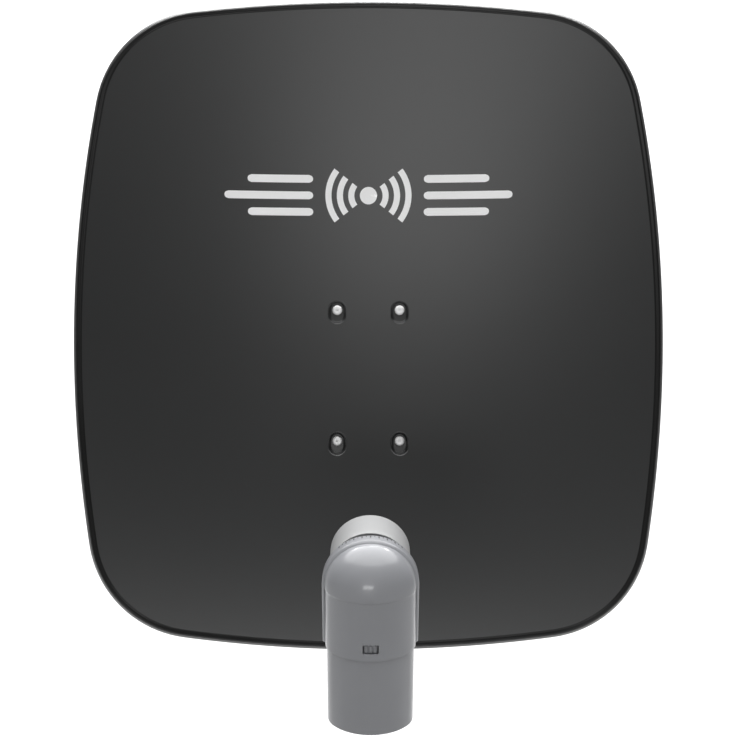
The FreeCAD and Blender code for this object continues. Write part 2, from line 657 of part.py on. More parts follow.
def make_elevation_locks():
    bolts, washers, nuts, pointers = [], [], [], []
    for inward, side in (("-x", ""), ("+x", "-")):
        outside = (f"{side}(yoke_x + gap + washer_t)", "pivot_y", "-lock_r")
        bolts.append(hex_bolt(outside, inward, "bolt_r", "bolt_key", "bolt_head",
                              "yoke_x + gap + washer_t - 30"))
        disc = rod(outside, inward, "washer_r + 1", "washer_t")
        tip = primitive("Wedge", (f"{side}(yoke_x + gap + washer_t / 2) - washer_t / 2",
                                  "pivot_y", "-lock_r"), "+z")
        for prop, text in (("Xmin", 0), ("Xmax", "washer_t"), ("X2min", 0), ("X2max", "washer_t"),
                           ("Ymin", 0), ("Ymax", 11.2), ("Zmin", -5), ("Zmax", 5), ("Z2min", -0.4),
                           ("Z2max", 0.4)):
            tip.setExpression(prop, cell(text))
        tip.Placement.Rotation = FreeCAD.Rotation(X_AXIS, 90)
        pointers.append(cut(fuse(disc, tip), rod(outside, inward, "bolt_r", "washer_t")))
        inside = (f"{side}(tilt_x - plate)", "pivot_y", "-lock_r")
        washers.append(washer(inside, inward, "washer_r", "bolt_r"))
        nuts.append(nut(along(inside, inward, "washer_t"), inward, "bolt_key", "bolt_nut", "bolt_r"))
    finish(group(bolts), "lock_bolts")
    finish(group(pointers), "elevation_pointers")
    finish(group(washers), "lock_washers")
    finish(group(nuts), "lock_nuts")


def make_arm_strut():
    body = new_body("arm_strut")
    front = "face_y + pocket_floor + sheet + plate"
    section = sketch(body, "XY_Plane", "strut_low")
    add_polygon(section, [
        ("-strut_x", front), ("strut_x", front), ("strut_x", "strut_rear"),
        ("strut_x - strut_t", "strut_rear"), ("strut_x - strut_t", front + " + strut_t"),
        ("strut_t - strut_x", front + " + strut_t"), ("strut_t - strut_x", "strut_rear"),
        ("-strut_x", "strut_rear")])
    pad = feature(body, "Pad", section, "strut_top - strut_low")
    rounded = fillet(body, pad, "strut_t", lambda e: is_line_along(e, "z") and near(e.CenterOfMass.y, front))
    fillet(body, rounded, 10, lambda e: is_line_along(e, "x") and near(e.CenterOfMass.y, "strut_rear"))
    fork = sketch(body, "XZ_Plane", f"0 - ({front}) - strut_t")
    inner = "strut_x - strut_t"
    add_polygon(fork, [(f"0 - ({inner})", "strut_low - 5"), (inner, "strut_low - 5"), (inner, "strut_fork"),
                       (f"0 - ({inner})", "strut_fork")])
    feature(body, "Pocket", fork, "8 * strut_t", Midplane=True)
    through(body, "XZ_Plane", f"0 - ({front})", "4 * plate",
            [(0, "strut_bolt_a", "bolt_hole"), (0, "strut_bolt_b", "bolt_hole")])
    across = []
    for reach in ARM_BOLTS:
        spot = ARM.multVec(vec(0, reach, 0))
        across.append((spot.y, spot.z, "small_r"))
    through(body, "YZ_Plane", 0, "4 * strut_x", across)
    return finish(body, "arm_strut")


def make_strut_fixings():
    front = "face_y + pocket_floor + sheet"
    levels = ("strut_bolt_a", "strut_bolt_b")
    finish(group(dome_bolt((0, front, z), "+y", "bolt_r", "washer_r", "plate", 20) for z in levels),
           "strut_bolts")
    seats = [(0, front + " + plate + strut_t", z) for z in levels]
    finish(group(washer(s, "+y", "washer_r", "bolt_r") for s in seats), "strut_washers")
    finish(group(nut(along(s, "+y", "washer_t"), "+y", "bolt_key", "bolt_nut", "bolt_r") for s in seats),
           "strut_nuts")


def make_feed_arm():
    body = new_body("feed_arm")
    section = sketch(body, "XZ_Plane", "0 - arm_start")
    add_polygon(section, [("-arm_x", "-arm_h"), ("arm_x", "-arm_h"), ("arm_x", "arm_h"), ("-arm_x", "arm_h")])
    pad = feature(body, "Pad", section, "arm_start + arm_end")
    soft = fillet(body, pad, 3, lambda e: is_line_along(e, "y"))
    bore = sketch(body, "XZ_Plane", "0 - arm_start")
    wide, high = "arm_x - arm_wall", "arm_h - arm_wall"
    add_polygon(bore, [(f"0 - ({wide})", f"0 - ({high})"), (wide, f"0 - ({high})"), (wide, high),
                       (f"0 - ({wide})", high)])
    feature(body, "Pocket", bore, "2 * (arm_start + arm_end)", Midplane=True)
    through(body, "YZ_Plane", 0, "4 * arm_x", [(reach, 0, "small_r") for reach in ARM_BOLTS])
    slot = sketch(body, "XY_Plane", "-arm_h")
    near_end, far_end = "focus_slot - focus_at", "0 - focus_slot - focus_at"
    add_polygon(slot, [("-small_hole", far_end), ("small_hole", far_end), ("small_hole", near_end),
                       ("-small_hole", near_end)])
    feature(body, "Pocket", slot, "4 * arm_wall", Midplane=True)
    body.Tip = body.Group[-1]
    return finish(body, "feed_arm", ARM)


def make_arm_fixings():
    seats = [("strut_x", reach, 0) for reach in ARM_BOLTS]
    far = [("-strut_x", reach, 0) for reach in ARM_BOLTS]
    finish(group(hex_bolt(s, "-x", "small_r", "small_key", 4, "2 * strut_x + 9") for s in seats),
           "arm_bolts", ARM)
    finish(group(nut(s, "-x", "small_key", "small_nut", "small_r") for s in far), "arm_nuts", ARM)
    flange = block("-arm_x", "arm_x", "arm_start", "arm_start + 2", "-arm_h", "arm_h")
    plug = block("0 - arm_x + arm_wall", "arm_x - arm_wall", "arm_start - 2", "arm_start",
                 "0 - arm_h + arm_wall", "arm_h - arm_wall")
    finish(fuse(flange, plug), "arm_plug", ARM)


# ---------------------------------------------------------------- feed holder

def make_holder():
    def half_ring(side):
        """One half of the neck clamp, above or below the parting gap."""
        low, high = (0.5, "ear_t") if side > 0 else ("0 - ear_t", -0.5)
        tube = rod((0, "0 - ring_front", 0), "-y", "ring_r", "ring_rear - ring_front")
        limits = (0.5, "ring_r + 1") if side > 0 else ("0 - ring_r - 1", -0.5)
        keep = block("0 - ring_r", "ring_r", "0 - ring_rear - 1", "1 - ring_front", *limits)
        round_part = doc.addObject("Part::Common", "Common")
        round_part.Base, round_part.Tool = tube, keep
        ears = block("-ear_x", "ear_x", "0 - ring_rear", "0 - ring_front", low, high)
        return round_part, ears

    def tools(side):
        bore = rod((0, "1 - ring_front", 0), "-y", "neck_fit", "ring_rear - ring_front + 2")
        middle = "0 - (ring_front + ring_rear) / 2"
        start = 0 if side > 0 else "0 - ear_t - 1"
        holes = [rod((f"{sx} * holder_screw_x", middle, start), "+z", 2.1, "ear_t + 1") for sx in SIDES]
        return [bore] + holes

    finish(cut(fuse(*half_ring(1)), *tools(1)), "holder_cap", FEED)
    leg = block(-13, 13, "0 - ring_rear", "0 - ring_front", -50, -15)
    heel = block(-13, 13, "0 - ring_rear", -26, -50, -36)
    wide, high = "arm_x - arm_wall - gap", "arm_h - arm_wall - gap"
    tongue = group([block(f"0 - ({wide})", wide, "-tongue_end", "-tongue_start", f"0 - ({high})", high)])
    thread = group([rod((0, "-focus_at", "0 - arm_h"), "+z", "small_r", 13)])
    for item in (tongue, thread):
        item.Placement = FEED.inverse().multiply(ARM)
    finish(cut(fuse(*half_ring(-1), leg, heel, tongue), *tools(-1), thread), "holder_base", FEED)
    middle = "0 - (ring_front + ring_rear) / 2"
    tops = [(f"{sx} * holder_screw_x", middle, "ear_t") for sx in SIDES]
    lows = [(f"{sx} * holder_screw_x", middle, "0 - ear_t") for sx in SIDES]
    finish(group(dome_bolt(s, "-z", 2, 3.8, 2.4, "2 * ear_t + 4.5") for s in tops), "holder_screws", FEED)
    finish(group(nut(s, "-z", 4, 3.2, 2) for s in lows), "holder_nuts", FEED)
    under = (0, "-focus_at", "0 - arm_h - gap - washer_t")
    finish(fuse(rod(under, "+z", "small_r", 12), rod(along(under, "-z", 7), "+z", 7, 7)), "focus_screw", ARM)
    finish(washer(under, "+z", "small_washer", "small_r"), "focus_washer", ARM)


# ---------------------------------------------------------------- feed head

def turned(name, points):
    """A body of revolution about the horn axis from its radius and depth profile."""
    body = new_body(name)
    sk = sketch(body, "XY_Plane")
    add_polygon(sk, points)
    spin = body.newObject("PartDesign::Revolution", "Revolution")
    spin.Profile = sk
    spin.ReferenceAxis = (sk, ["V_Axis"])
    spin.Angle = 360
    sk.Visibility = False
    return finish(body, name, FEED)


def make_horn():
    turned("horn_cap", [
        (0, "cap_front + 1.2"), (20, "cap_front + 0.6"), ("cap_r - 3", "cap_front - 0.8"),
        ("cap_r", "cap_front - 4"), ("cap_r", "0 - cap_rear"), ("cap_r - 1.6", "0 - cap_rear"),
        ("cap_r - 1.6", "cap_front - 4.6"), ("cap_r - 3.8", "cap_front - 2.4"), (19.5, "cap_front - 1"),
        (0, "cap_front - 0.5")])
    rings = [("bore_r", "cap_front - 12"), (11.5, "cap_front - 12"), (11.5, -17), (15.5, -17),
             (15.5, "cap_front - 9"), (17.5, "cap_front - 9"), (17.5, -17), (22.5, -17),
             (22.5, "cap_front - 3"), ("horn_r", "cap_front - 3"), ("horn_r", -19.5), ("tube_r", -19.5)]
    turned("feed_horn", [("bore_r", "0 - tube_end")] + rings + [("tube_r", "0 - tube_end")])
    turned("neck_sleeve", [("tube_r", -20.5), ("neck_r", -20.5), ("neck_r", "0 - shell_rear"),
                           ("tube_r", "0 - shell_rear")])
    seal = primitive("Torus", (0, -17.5, 0), "-y", Radius1="(horn_r + cap_r - 1.6) / 2", Radius2=1.3)
    finish(group([seal]), "horn_seal", FEED)
    pins = [rod((x, -60, z), "+y", 0.8, 13) for x, z in ((4.5, 0), (0, 4.5))]
    finish(group(pins), "probe_pins", FEED)


def plan_arcs(half, front):
    """Flank and nose arcs on the right of the housing plan, each as start, middle and end point."""
    half, front, side = val(half), val(front), val("shell_side")
    bend = val("shell_bend") - (val("shell_x") - half)
    reach, rest = half - bend, front - side - bend
    back = (reach ** 2 - rest ** 2) / (2 * rest)
    hub, nose_hub = FreeCAD.Vector(reach, -side, 0), FreeCAD.Vector(0, back - side, 0)
    seam = (hub - nose_hub).normalize()
    nose = back + bend + rest

    def spot(centre, way, radius):
        return centre + FreeCAD.Vector(way).normalize() * radius

    flank = [spot(hub, X_AXIS, bend), spot(hub, X_AXIS + seam, bend), spot(hub, seam, bend)]
    return flank, [flank[2], spot(nose_hub, seam - Y_AXIS, nose), FreeCAD.Vector(0, -front, 0)]


def add_chain(sk, spots):
    for start, end in zip(spots, spots[1:]):
        sk.addGeometry(Part.LineSegment(start, end))


def add_plan(sk, half, rear, front):
    """Closed plan of the housing: straight sides, two flank arcs and a flatter nose arc."""
    flank, nose = plan_arcs(half, front)

    def mirrored(spot):
        return FreeCAD.Vector(-spot.x, spot.y, 0)

    sk.addGeometry(Part.Arc(*flank))
    sk.addGeometry(Part.Arc(nose[0], nose[2], mirrored(nose[0])))
    sk.addGeometry(Part.Arc(*[mirrored(spot) for spot in reversed(flank)]))
    corner = FreeCAD.Vector(flank[0].x, -val(rear), 0)
    add_chain(sk, [flank[0], corner, mirrored(corner), mirrored(flank[0])])


def add_half_plan(sk, half, rear, front):
    """The right half of the same plan, closed along the horn axis."""
    flank, nose = plan_arcs(half, front)
    sk.addGeometry(Part.Arc(*flank))
    sk.addGeometry(Part.Arc(*nose))
    rear_spot = FreeCAD.Vector(0, -val(rear), 0)
    add_chain(sk, [flank[0], FreeCAD.Vector(flank[0].x, -val(rear), 0), rear_spot, nose[2]])


def domed_column(name, half, rear, front, low):
    """The plan run down from the horn axis, and turned about the axis above it."""
    body = new_body(name)
    plan = sketch(body, "XY_Plane", low)
    add_plan(plan, half, rear, front)
    feature(body, "Pad", plan, f"0 - ({low})")
    dome = sketch(body, "XY_Plane")
    add_half_plan(dome, half, rear, front)
    spin = body.newObject("PartDesign::Revolution", "Revolution")
    spin.Profile = dome
    spin.ReferenceAxis = (dome, ["V_Axis"])
    spin.Angle = 360
    dome.Visibility = False
    return body


def round_topped(name, inset, rear, front, low):
    """A block with a round top about the horn axis and sides that narrow towards the foot."""
    body = new_body(name)
    sk = sketch(body, "XZ_Plane", rear)
    radius, foot, level = val(f"band_x - {inset}"), val(f"band_foot - {inset}"), val(low)
    spots = ((-radius, 0), (-foot, level), (foot, level), (radius, 0))
    corners = [FreeCAD.Vector(*spot, 0) for spot in spots]
    sk.addGeometry(Part.Arc(corners[0], FreeCAD.Vector(0, radius, 0), corners[3]))
    add_chain(sk, corners)
    return body, feature(body, "Pad", sk, f"({front}) - ({rear})")


def make_rear_shell():
    body, pad = round_topped("rear_outer", "0", "shell_rear", "shell_split", "band_low")
    fillet(body, pad, 3, lambda e: near(e.CenterOfMass.y, "0 - shell_rear")
           and e.BoundBox.ZMax > val("band_low") + 1)
    room, _ = round_topped("rear_inner", "band_wall", "shell_rear + band_wall", "shell_split + 1",
                           "band_low - 1")
    start = ("0", "0 - shell_rear + 1", "0")
    holes = [rod(start, "-y", "tube_r", "band_wall + 2")]
    holes += [rod((x, start[1], z), "-y", 1.6, "band_wall + 2") for x, z in BOSSES]
    finish(cut(body, room, *holes), "rear_shell", FEED)


def make_front_shell():
    outer = domed_column("front_outer", "shell_x", "shell_lap", "shell_front", "shell_low")
    inner = domed_column("front_inner", "shell_x - shell_wall", "shell_lap - 1", "shell_front - shell_wall",
                         "shell_low - 1")
    start = "0 - shell_rear - band_wall - 0.2"
    posts = [rod((x, start, z), "-y", 3.6, 40) for x, z in BOSSES]
    stubs = [rod((x, start, z), "-y", 3.6, 12) for x, z in BOSSES]
    drills = [rod((x, start, z), "-y", 1.4, 17) for x, z in BOSSES]
    window = block("-window_x", "window_x", "0 - shell_front - 1", "0 - shell_front + 6", "window_low",
                   "window_top")
    shell = cut(outer, cut(inner, *posts), window)
    return finish(cut(fuse(shell, *stubs), *drills), "front_shell", FEED)


def make_sliding_cover():
    body = new_body("weather_cover")
    plan = sketch(body, "XY_Plane", "cover_low")
    add_plan(plan, "cover_x", "cover_rear", "cover_front")
    pad = feature(body, "Pad", plan, "cover_top - cover_low")
    soft = fillet(body, pad, 6, lambda e: is_line_along(e, "z") and near(e.CenterOfMass.y, "0 - cover_rear"))
    hollow(body, soft, "cover_wall", lambda f: near(f.CenterOfMass.z, "cover_top")
           or near(f.CenterOfMass.z, "cover_low"))
    notch = sketch(body, "XZ_Plane", "cover_rear")
    add_polygon(notch, [(-24, "cover_top - 8"), (24, "cover_top - 8"), (24, "cover_top + 5"),
                        (-24, "cover_top + 5")])
    feature(body, "Pocket", notch, "4 * cover_wall", Midplane=True)
    finish(body, "weather_cover", FEED)
    latch = block(-5, 5, "0.5 - cover_front", "2 - cover_front", "cover_top", "window_top - 0.6")
    finish(group([latch]), "cover_latch", FEED)


def make_electronics():
    body = new_body("casing")
    sk = sketch(body, "XZ_Plane", "case_rear")
    add_polygon(sk, [("-case_x", "case_low"), ("case_x", "case_low"), ("case_x", "case_top"),
                     ("-case_x", "case_top")])
    feature(body, "Pad", sk, "case_front - case_rear")
    room = sketch(body, "XZ_Plane", "case_rear + plate")
    wide, low, high = "case_x - case_wall", "case_low + case_wall", "case_top - case_wall"
    add_polygon(room, [(f"9 - ({wide})", low), (f"({wide}) - 9", low), (wide, f"({low}) + 9"),
                       (wide, f"({high}) - 9"), (f"({wide}) - 9", high), (f"9 - ({wide})", high),
                       (f"0 - ({wide})", f"({high}) - 9"), (f"0 - ({wide})", f"({low}) + 9")])
    feature(body, "Pocket", room, "case_front", Reversed=True)
    through(body, "XZ_Plane", "case_rear", "4 * plate", [(0, 0, "bore_r")])
    spots = [(f"{sx} * (case_x - 4)", level) for sx in SIDES for level in ("case_low + 4", "case_top - 4")]
    through(body, "XZ_Plane", "case_front", "20", [(x, z, 1.25) for x, z in spots])
    finish(body, "casing", FEED)
    lid = block("-case_x", "case_x", "0 - case_front - 2", "0 - case_front", "case_low", "case_top")
    drills = [rod((x, "0 - case_front", z), "-y", 1.3, 2) for x, z in spots]
    finish(cut(lid, *drills), "casing_lid", FEED)
    finish(group(dome_bolt((x, "0 - case_front - 2", z), "+y", 1.25, 2.5, 1.8, 8) for x, z in spots),
           "lid_screws", FEED)
    board = block("3.5 - case_x", "case_x - 3.5", -61.6, -60, "case_low + 12", "case_top - 12")
    finish(group([board]), "circuit_board", FEED)


def make_sockets():
    places = [(f"{k} * f_pitch", "f_y", "case_low") for k in (-1.5, -0.5, 0.5, 1.5)]
    bodies = []
    for spot in places:
        shank = rod(spot, "-z", 4, "f_seal")
        hexa = hexagon(along(spot, "-z", "f_seal"), "-z", 6.35, "f_hex - f_seal")
        barrel = rod(along(spot, "-z", "f_hex"), "-z", "f_r", "f_long")
        bodies.append(cut(fuse(shank, hexa, barrel), rod(spot, "-z", 3.3, "f_hex + f_long")))
    finish(group(bodies), "f_sockets", FEED)
    cores = [cut(rod(spot, "-z", 3.3, "f_hex + f_long - 1"),
                 rod(along(spot, "-z", "f_hex"), "-z", 0.6, "f_long")) for spot in places]
    finish(group(cores), "socket_cores", FEED)
    finish(group(washer(spot, "-z", 6.8, 4, "f_seal") for spot in places), "socket_seals", FEED)


def make_shell_screws():
    rear = "0 - shell_rear"
    finish(group(dome_bolt((x, rear, z), "-y", 1.4, 2.8, 1.8, 18) for x, z in BOSSES), "shell_screws", FEED)


make_reflector()
make_mast_yoke()
make_clamps()
make_pivots()
make_elevation_scale()
make_tilt_bracket()
make_reflector_fixings()
make_elevation_locks()
make_arm_strut()
make_strut_fixings()
make_feed_arm()
make_arm_fixings()
make_holder()
make_horn()
make_rear_shell()
make_front_shell()
make_sliding_cover()
make_electronics()
make_sockets()
make_shell_screws()
doc.recompute()

os.makedirs("parts", exist_ok=True)
for obj in doc.Objects:
    if "Invalid" in obj.State or "Error" in obj.State:
        raise RuntimeError(f"{obj.Label} did not rebuild: {obj.State}")
for obj in finished:
    if obj.Shape.isNull() or not obj.Shape.isValid():
        raise RuntimeError(f"{obj.Label} has no sound shape")
    obj.Shape.exportStep(f"parts/{obj.Label}.step")
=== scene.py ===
"""Looks of the offset satellite dish. Metres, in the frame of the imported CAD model."""
import json
import math

import bmesh
import bpy
import numpy as np
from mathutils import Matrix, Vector


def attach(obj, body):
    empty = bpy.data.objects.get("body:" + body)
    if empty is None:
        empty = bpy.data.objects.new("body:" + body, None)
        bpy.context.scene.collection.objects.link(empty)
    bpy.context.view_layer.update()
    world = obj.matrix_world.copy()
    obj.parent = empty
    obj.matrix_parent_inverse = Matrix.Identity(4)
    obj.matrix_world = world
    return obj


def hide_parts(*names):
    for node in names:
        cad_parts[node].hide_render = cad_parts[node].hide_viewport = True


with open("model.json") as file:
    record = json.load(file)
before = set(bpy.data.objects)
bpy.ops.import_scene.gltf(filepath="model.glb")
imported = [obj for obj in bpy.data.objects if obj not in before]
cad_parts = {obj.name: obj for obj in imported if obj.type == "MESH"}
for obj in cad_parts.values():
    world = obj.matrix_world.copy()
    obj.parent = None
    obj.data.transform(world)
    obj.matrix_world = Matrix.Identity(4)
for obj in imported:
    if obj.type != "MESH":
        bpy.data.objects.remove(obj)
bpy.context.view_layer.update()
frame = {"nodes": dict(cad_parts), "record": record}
nodes = frame["nodes"]
MM = 0.001

# ---------------------------------------------------------------- frames of the object, in millimetres

FACE_ORIGIN = np.array([0.0, -215.0, 52.0])
FEED_ORIGIN = np.array([0.0, -551.0, -139.0])
FEED_TILT = math.radians(18)
ARM_ORIGIN = np.array([0.0, -215.0, -310.0])
ARM_TILT = math.radians(-19)


def tilted(points, origin, angle):
    """Points of a frame turned about X, brought to the row frame."""
    c, s = math.cos(angle), math.sin(angle)
    x, y, z = np.asarray(points, float).T
    return np.stack([x, y * c - z * s, y * s + z * c], axis=1) + origin


def feed_points(points):
    return tilted(points, FEED_ORIGIN, FEED_TILT)


# ---------------------------------------------------------------- reflector geometry

FOCAL = 365.0
OFFSET = math.radians(24.2)
VERTEX_V, VERTEX_N = -354.5, 10.1
SHEET = 1.25
HALF_WIDTH, HALF_HEIGHT, SIDE_V = 303.0, 333.6, -13.0
SIDE_R, TOP_R, BOTTOM_R, CORNER_R = 1130.0, 1185.0, 1095.0, 118.0
RIM_WIDTH = 10.0
POCKET_U, POCKET_V, POCKET_UP = 33.0, (17.3, -121.3), 2.5
POCKET_HALF, POCKET_LONG, POCKET_FLOOR = 8.5, 11.5, -59.0


def surface(u, v):
    """Distance of the dished surface in front of the rim plane."""
    c, s = math.cos(OFFSET), math.sin(OFFSET)
    dv = v - VERTEX_V
    a = s * s
    b = -2 * dv * s * c - 4 * FOCAL * c
    k = u * u + (dv * c) ** 2 - 4 * FOCAL * dv * s
    return VERTEX_N + (-b - np.sqrt(b * b - 4 * a * k)) / (2 * a)


def corner_centre(cap_v, cap_r):
    """Centre of the corner arc tangent to the side arc and to the top or bottom arc."""
    side_u = HALF_WIDTH - SIDE_R
    reach_a, reach_b = SIDE_R - CORNER_R, cap_r - CORNER_R
    dx, dz = -side_u, cap_v - SIDE_V
    dist = math.hypot(dx, dz)
    step = (reach_a ** 2 - reach_b ** 2 + dist ** 2) / (2 * dist)
    rise = math.sqrt(reach_a ** 2 - step ** 2)
    mid = (side_u + dx * step / dist, SIDE_V + dz * step / dist)
    spots = [(mid[0] + k * rise * dz / dist, mid[1] - k * rise * dx / dist) for k in (1, -1)]
    return max(spots)


def outline_arcs():
    """The right half of the outline from the top middle down: centre, radius and angles of each arc."""
    top, low = HALF_HEIGHT - TOP_R, BOTTOM_R - HALF_HEIGHT
    side = (HALF_WIDTH - SIDE_R, SIDE_V)
    upper, lower = corner_centre(top, TOP_R), corner_centre(low, BOTTOM_R)

    def angle(start, end):
        return math.atan2(end[1] - start[1], end[0] - start[0])

    a1, a2 = angle((0, top), upper), angle(side, upper)
    a3, a4 = angle(side, lower), angle((0, low), lower)
    return [((0, top), TOP_R, math.pi / 2, a1), (upper, CORNER_R, a1, a2), (side, SIDE_R, a2, a3),
            (lower, CORNER_R, a3, a4), ((0, low), BOTTOM_R, a4, -math.pi / 2)]


def outline_at(lengths, grow):
    """Points and outward directions at arc lengths from the top middle clockwise, the outline grown."""
    arcs = outline_arcs()
    spans = [(r + grow) * abs(b - a) for _, r, a, b in arcs]
    half = sum(spans)
    place = np.mod(lengths, 2 * half)
    left = place > half
    place = np.where(left, 2 * half - place, place)
    points, outward = np.zeros((len(place), 2)), np.zeros((len(place), 2))
    start = 0.0
    for (centre, r, a, b), span in zip(arcs, spans):
        here = (place >= start - 1e-6) & (place <= start + span + 1e-6)
        turn = a + (b - a) * np.clip((place[here] - start) / span, 0, 1)
        way = np.stack([np.cos(turn), np.sin(turn)], axis=1)
        points[here] = np.array(centre) + (r + grow) * way
        outward[here] = way
        start += span
    flip = np.where(left, -1.0, 1.0)
    points[:, 0] *= flip
    outward[:, 0] *= flip
    return points, outward


def half_length(grow):
    return sum((r + grow) * abs(b - a) for _, r, a, b in outline_arcs())


def corner_lengths(grow):
    """Arc lengths from the top middle to the middle of the upper and lower right corners."""
    spans = [(r + grow) * abs(b - a) for _, r, a, b in outline_arcs()]
    return spans[0] + spans[1] / 2, sum(spans[:3]) + spans[3] / 2


def spaced(low, high, coarse, fine, zones):
    """Values from low to high, a fine step inside the zones and a coarse one outside."""
    values = [low]
    while values[-1] < high:
        inside = any(a - coarse / 2 < values[-1] < b for a, b in zones)
        values.append(values[-1] + (fine if inside else coarse))
    values = np.array(values)
    return low + (values - low) * (high - low) / (values[-1] - low)


def dished_grid():
    """Points of a four-sided patch inside the crease line, fine round the four screw pockets."""
    grow = -RIM_WIDTH
    upper, lower = corner_lengths(grow)
    whole = 2 * half_length(grow)

    def side(start, end):
        return lambda k: outline_at(start + (end - start) * k, grow)[0]

    top, right = side(whole - upper, whole + upper), side(upper, lower)
    bottom, left = side(whole - lower, lower), side(whole - upper, whole - lower)

    def patch(s, t):
        """Blend of the four edges at parameters across and down."""
        s2, t2 = s[:, None, None], t[None, :, None]
        edge_t, edge_b = top(s)[:, None, :], bottom(s)[:, None, :]
        edge_l, edge_r = left(t)[None, :, :], right(t)[None, :, :]
        c00, c10 = top(np.zeros(1))[0], top(np.ones(1))[0]
        c01, c11 = bottom(np.zeros(1))[0], bottom(np.ones(1))[0]
        corners = ((1 - s2) * (1 - t2) * c00 + s2 * (1 - t2) * c10
                   + (1 - s2) * t2 * c01 + s2 * t2 * c11)
        return (1 - t2) * edge_t + t2 * edge_b + (1 - s2) * edge_l + s2 * edge_r - corners

    even = np.linspace(0, 1, 401)
    across = patch(even, np.array([0.5]))[:, 0, 0]
    down = patch(np.array([0.5 + POCKET_U / 600]), even)[0, :, 1]
    zone_u = [(k * POCKET_U - 13, k * POCKET_U + 13) for k in (-1, 1)]
    zone_v = [(v - 17, v + 14) for v in sorted(POCKET_V)]
    s = np.interp(spaced(across[0], across[-1], 7.0, 0.7, zone_u), across, even)
    t = np.interp(spaced(down[-1], down[0], 7.0, 0.7, zone_v)[::-1], down[::-1], even[::-1])
    seam = np.array([0, 0.0012, 0.004])
    s, t = (np.concatenate([seam, k[1:-1], 1 - seam[::-1]]) for k in (s, t))
    return patch(s, t)


def pocket_depth(u, v, base):
    """The surface with the four stamped screw pockets pressed in."""
    out = base.copy()
    for side in (-1, 1):
        for level in POCKET_V:
            du = np.abs(u - side * POCKET_U)
            dv = np.maximum(np.abs(v - level + POCKET_UP) - (POCKET_LONG - POCKET_HALF), 0)
            gap = np.hypot(du, dv) - POCKET_HALF
            k = np.clip((0.7 - gap) / 2.3, 0, 1)
            k = k * k * (3 - 2 * k)
            out += (POCKET_FLOOR - base) * k
    return out


def make_reflector():
    """The dished sheet with its pockets, and the rolled rim round it, which wears a darker copy of the dish
    coating as painted shade.
    """
    grid = dished_grid()
    rows, cols = grid.shape[:2]
    u, v = grid[..., 0], grid[..., 1]
    top = np.stack([u, pocket_depth(u, v, surface(u, v)), v], axis=-1).reshape(-1, 3)
    total = len(top)
    faces = grid_faces(rows, cols)
    faces += [tuple(total + i for i in reversed(face)) for face in faces]
    loop = [i * cols for i in range(rows)] + [(rows - 1) * cols + j for j in range(1, cols)]
    loop += [i * cols + cols - 1 for i in range(rows - 2, -1, -1)] + [j for j in range(cols - 2, 0, -1)]
    faces += [(a, total + a, total + b, b) for a, b in zip(loop, loop[1:] + loop[:1])]
    sheet = np.concatenate([top, top - (0, SHEET, 0)])
    piece("dish_reflector", (face_points(sheet), faces), "dish", "dish_coating", ("reflector",), sharp=60)
    edge = top[loop]
    outward = edge_directions(edge)
    rings = [edge + np.stack([outward[:, 0] * reach, np.full(len(edge), rise), outward[:, 1] * reach], axis=1)
             for reach, rise in rim_section()]
    rim = np.concatenate(rings + rings[:1])
    # The rim takes a darker copy of the dish coating: painted shade on the flange, skirt and lip, which are
    # the same paint as the dish.
    piece("dish_rim", (face_points(rim), grid_faces(len(rings) + 1, len(edge), closed=True)), "dish",
          "dish_coating", material="rim_painted_shade", sharp=60)


def face_points(local):
    """Row-frame points of points given across, out of and up the dish face."""
    return np.stack([local[:, 0], -local[:, 1], local[:, 2]], axis=1) + FACE_ORIGIN


def edge_directions(edge):
    """Outward directions in the face plane along the crease loop."""
    after, before = np.roll(edge, -1, axis=0), np.roll(edge, 1, axis=0)
    along = (after - before)[:, [0, 2]]
    normal = np.stack([along[:, 1], -along[:, 0]], axis=1)
    normal /= np.linalg.norm(normal, axis=1)[:, None]
    outside = np.sum(normal * edge[:, [0, 2]], axis=1, keepdims=True)
    return normal * np.sign(outside)


def rim_section():
    """Rolled rim from the crease outwards, over the bend, down the skirt and back inside: reach and rise."""
    crease = [(-0.1, -0.1), (0.2, 0.2), (0.6, 0.34), (1.0, 0.28), (1.4, 0.22), (2.4, 0.45), (3.4, 0.72)]
    bend = []
    for k in range(9):
        turn = math.radians(100 - k * 18)
        bend.append((4.3 + 1.25 * math.cos(turn), -0.35 + 1.25 * math.sin(turn)))
    skirt = [(6.3, -1.2), (7.5, -3.4), (8.8, -6.0), (9.6, -7.7)]
    lip = [(9.9, -8.4), (9.85, -8.75), (9.5, -8.9), (9.1, -8.8), (8.7, -8.2)]
    inside = [(7.6, -6.0), (6.2, -3.3), (5.0, -1.7), (4.0, -1.0), (2.0, -1.2), (0.6, -1.5)]
    return crease + bend + skirt + lip + inside


# ---------------------------------------------------------------- mesh helpers

TURNS = {
    "+z": np.eye(3),
    "-z": np.diag([1.0, -1.0, -1.0]),
    "+y": np.array([[1.0, 0, 0], [0, 0, 1], [0, -1, 0]]),
    "-y": np.array([[1.0, 0, 0], [0, 0, -1], [0, 1, 0]]),
    "+x": np.array([[0, 0, 1.0], [0, 1, 0], [-1, 0, 0]]),
    "-x": np.array([[0, 0, -1.0], [0, 1, 0], [1, 0, 0]]),
}
WORLD = (np.zeros(3), 0.0)
FEED = (FEED_ORIGIN, FEED_TILT)
ARM = (ARM_ORIGIN, ARM_TILT)
# Faces of a box whose first four corners go round one end and the last four round the other
BOX_FACES = [(0, 1, 2, 3), (7, 6, 5, 4), (0, 4, 5, 1), (1, 5, 6, 2), (2, 6, 7, 3), (3, 7, 4, 0)]


def placed(shape, at=(0, 0, 0), turn="+z", place=WORLD):
    """A shape whose own axis Z is turned to a direction of a frame and moved to a point there."""
    points, faces = shape
    return tilted(np.asarray(points) @ TURNS[turn].T + np.asarray(at, float), *place), faces


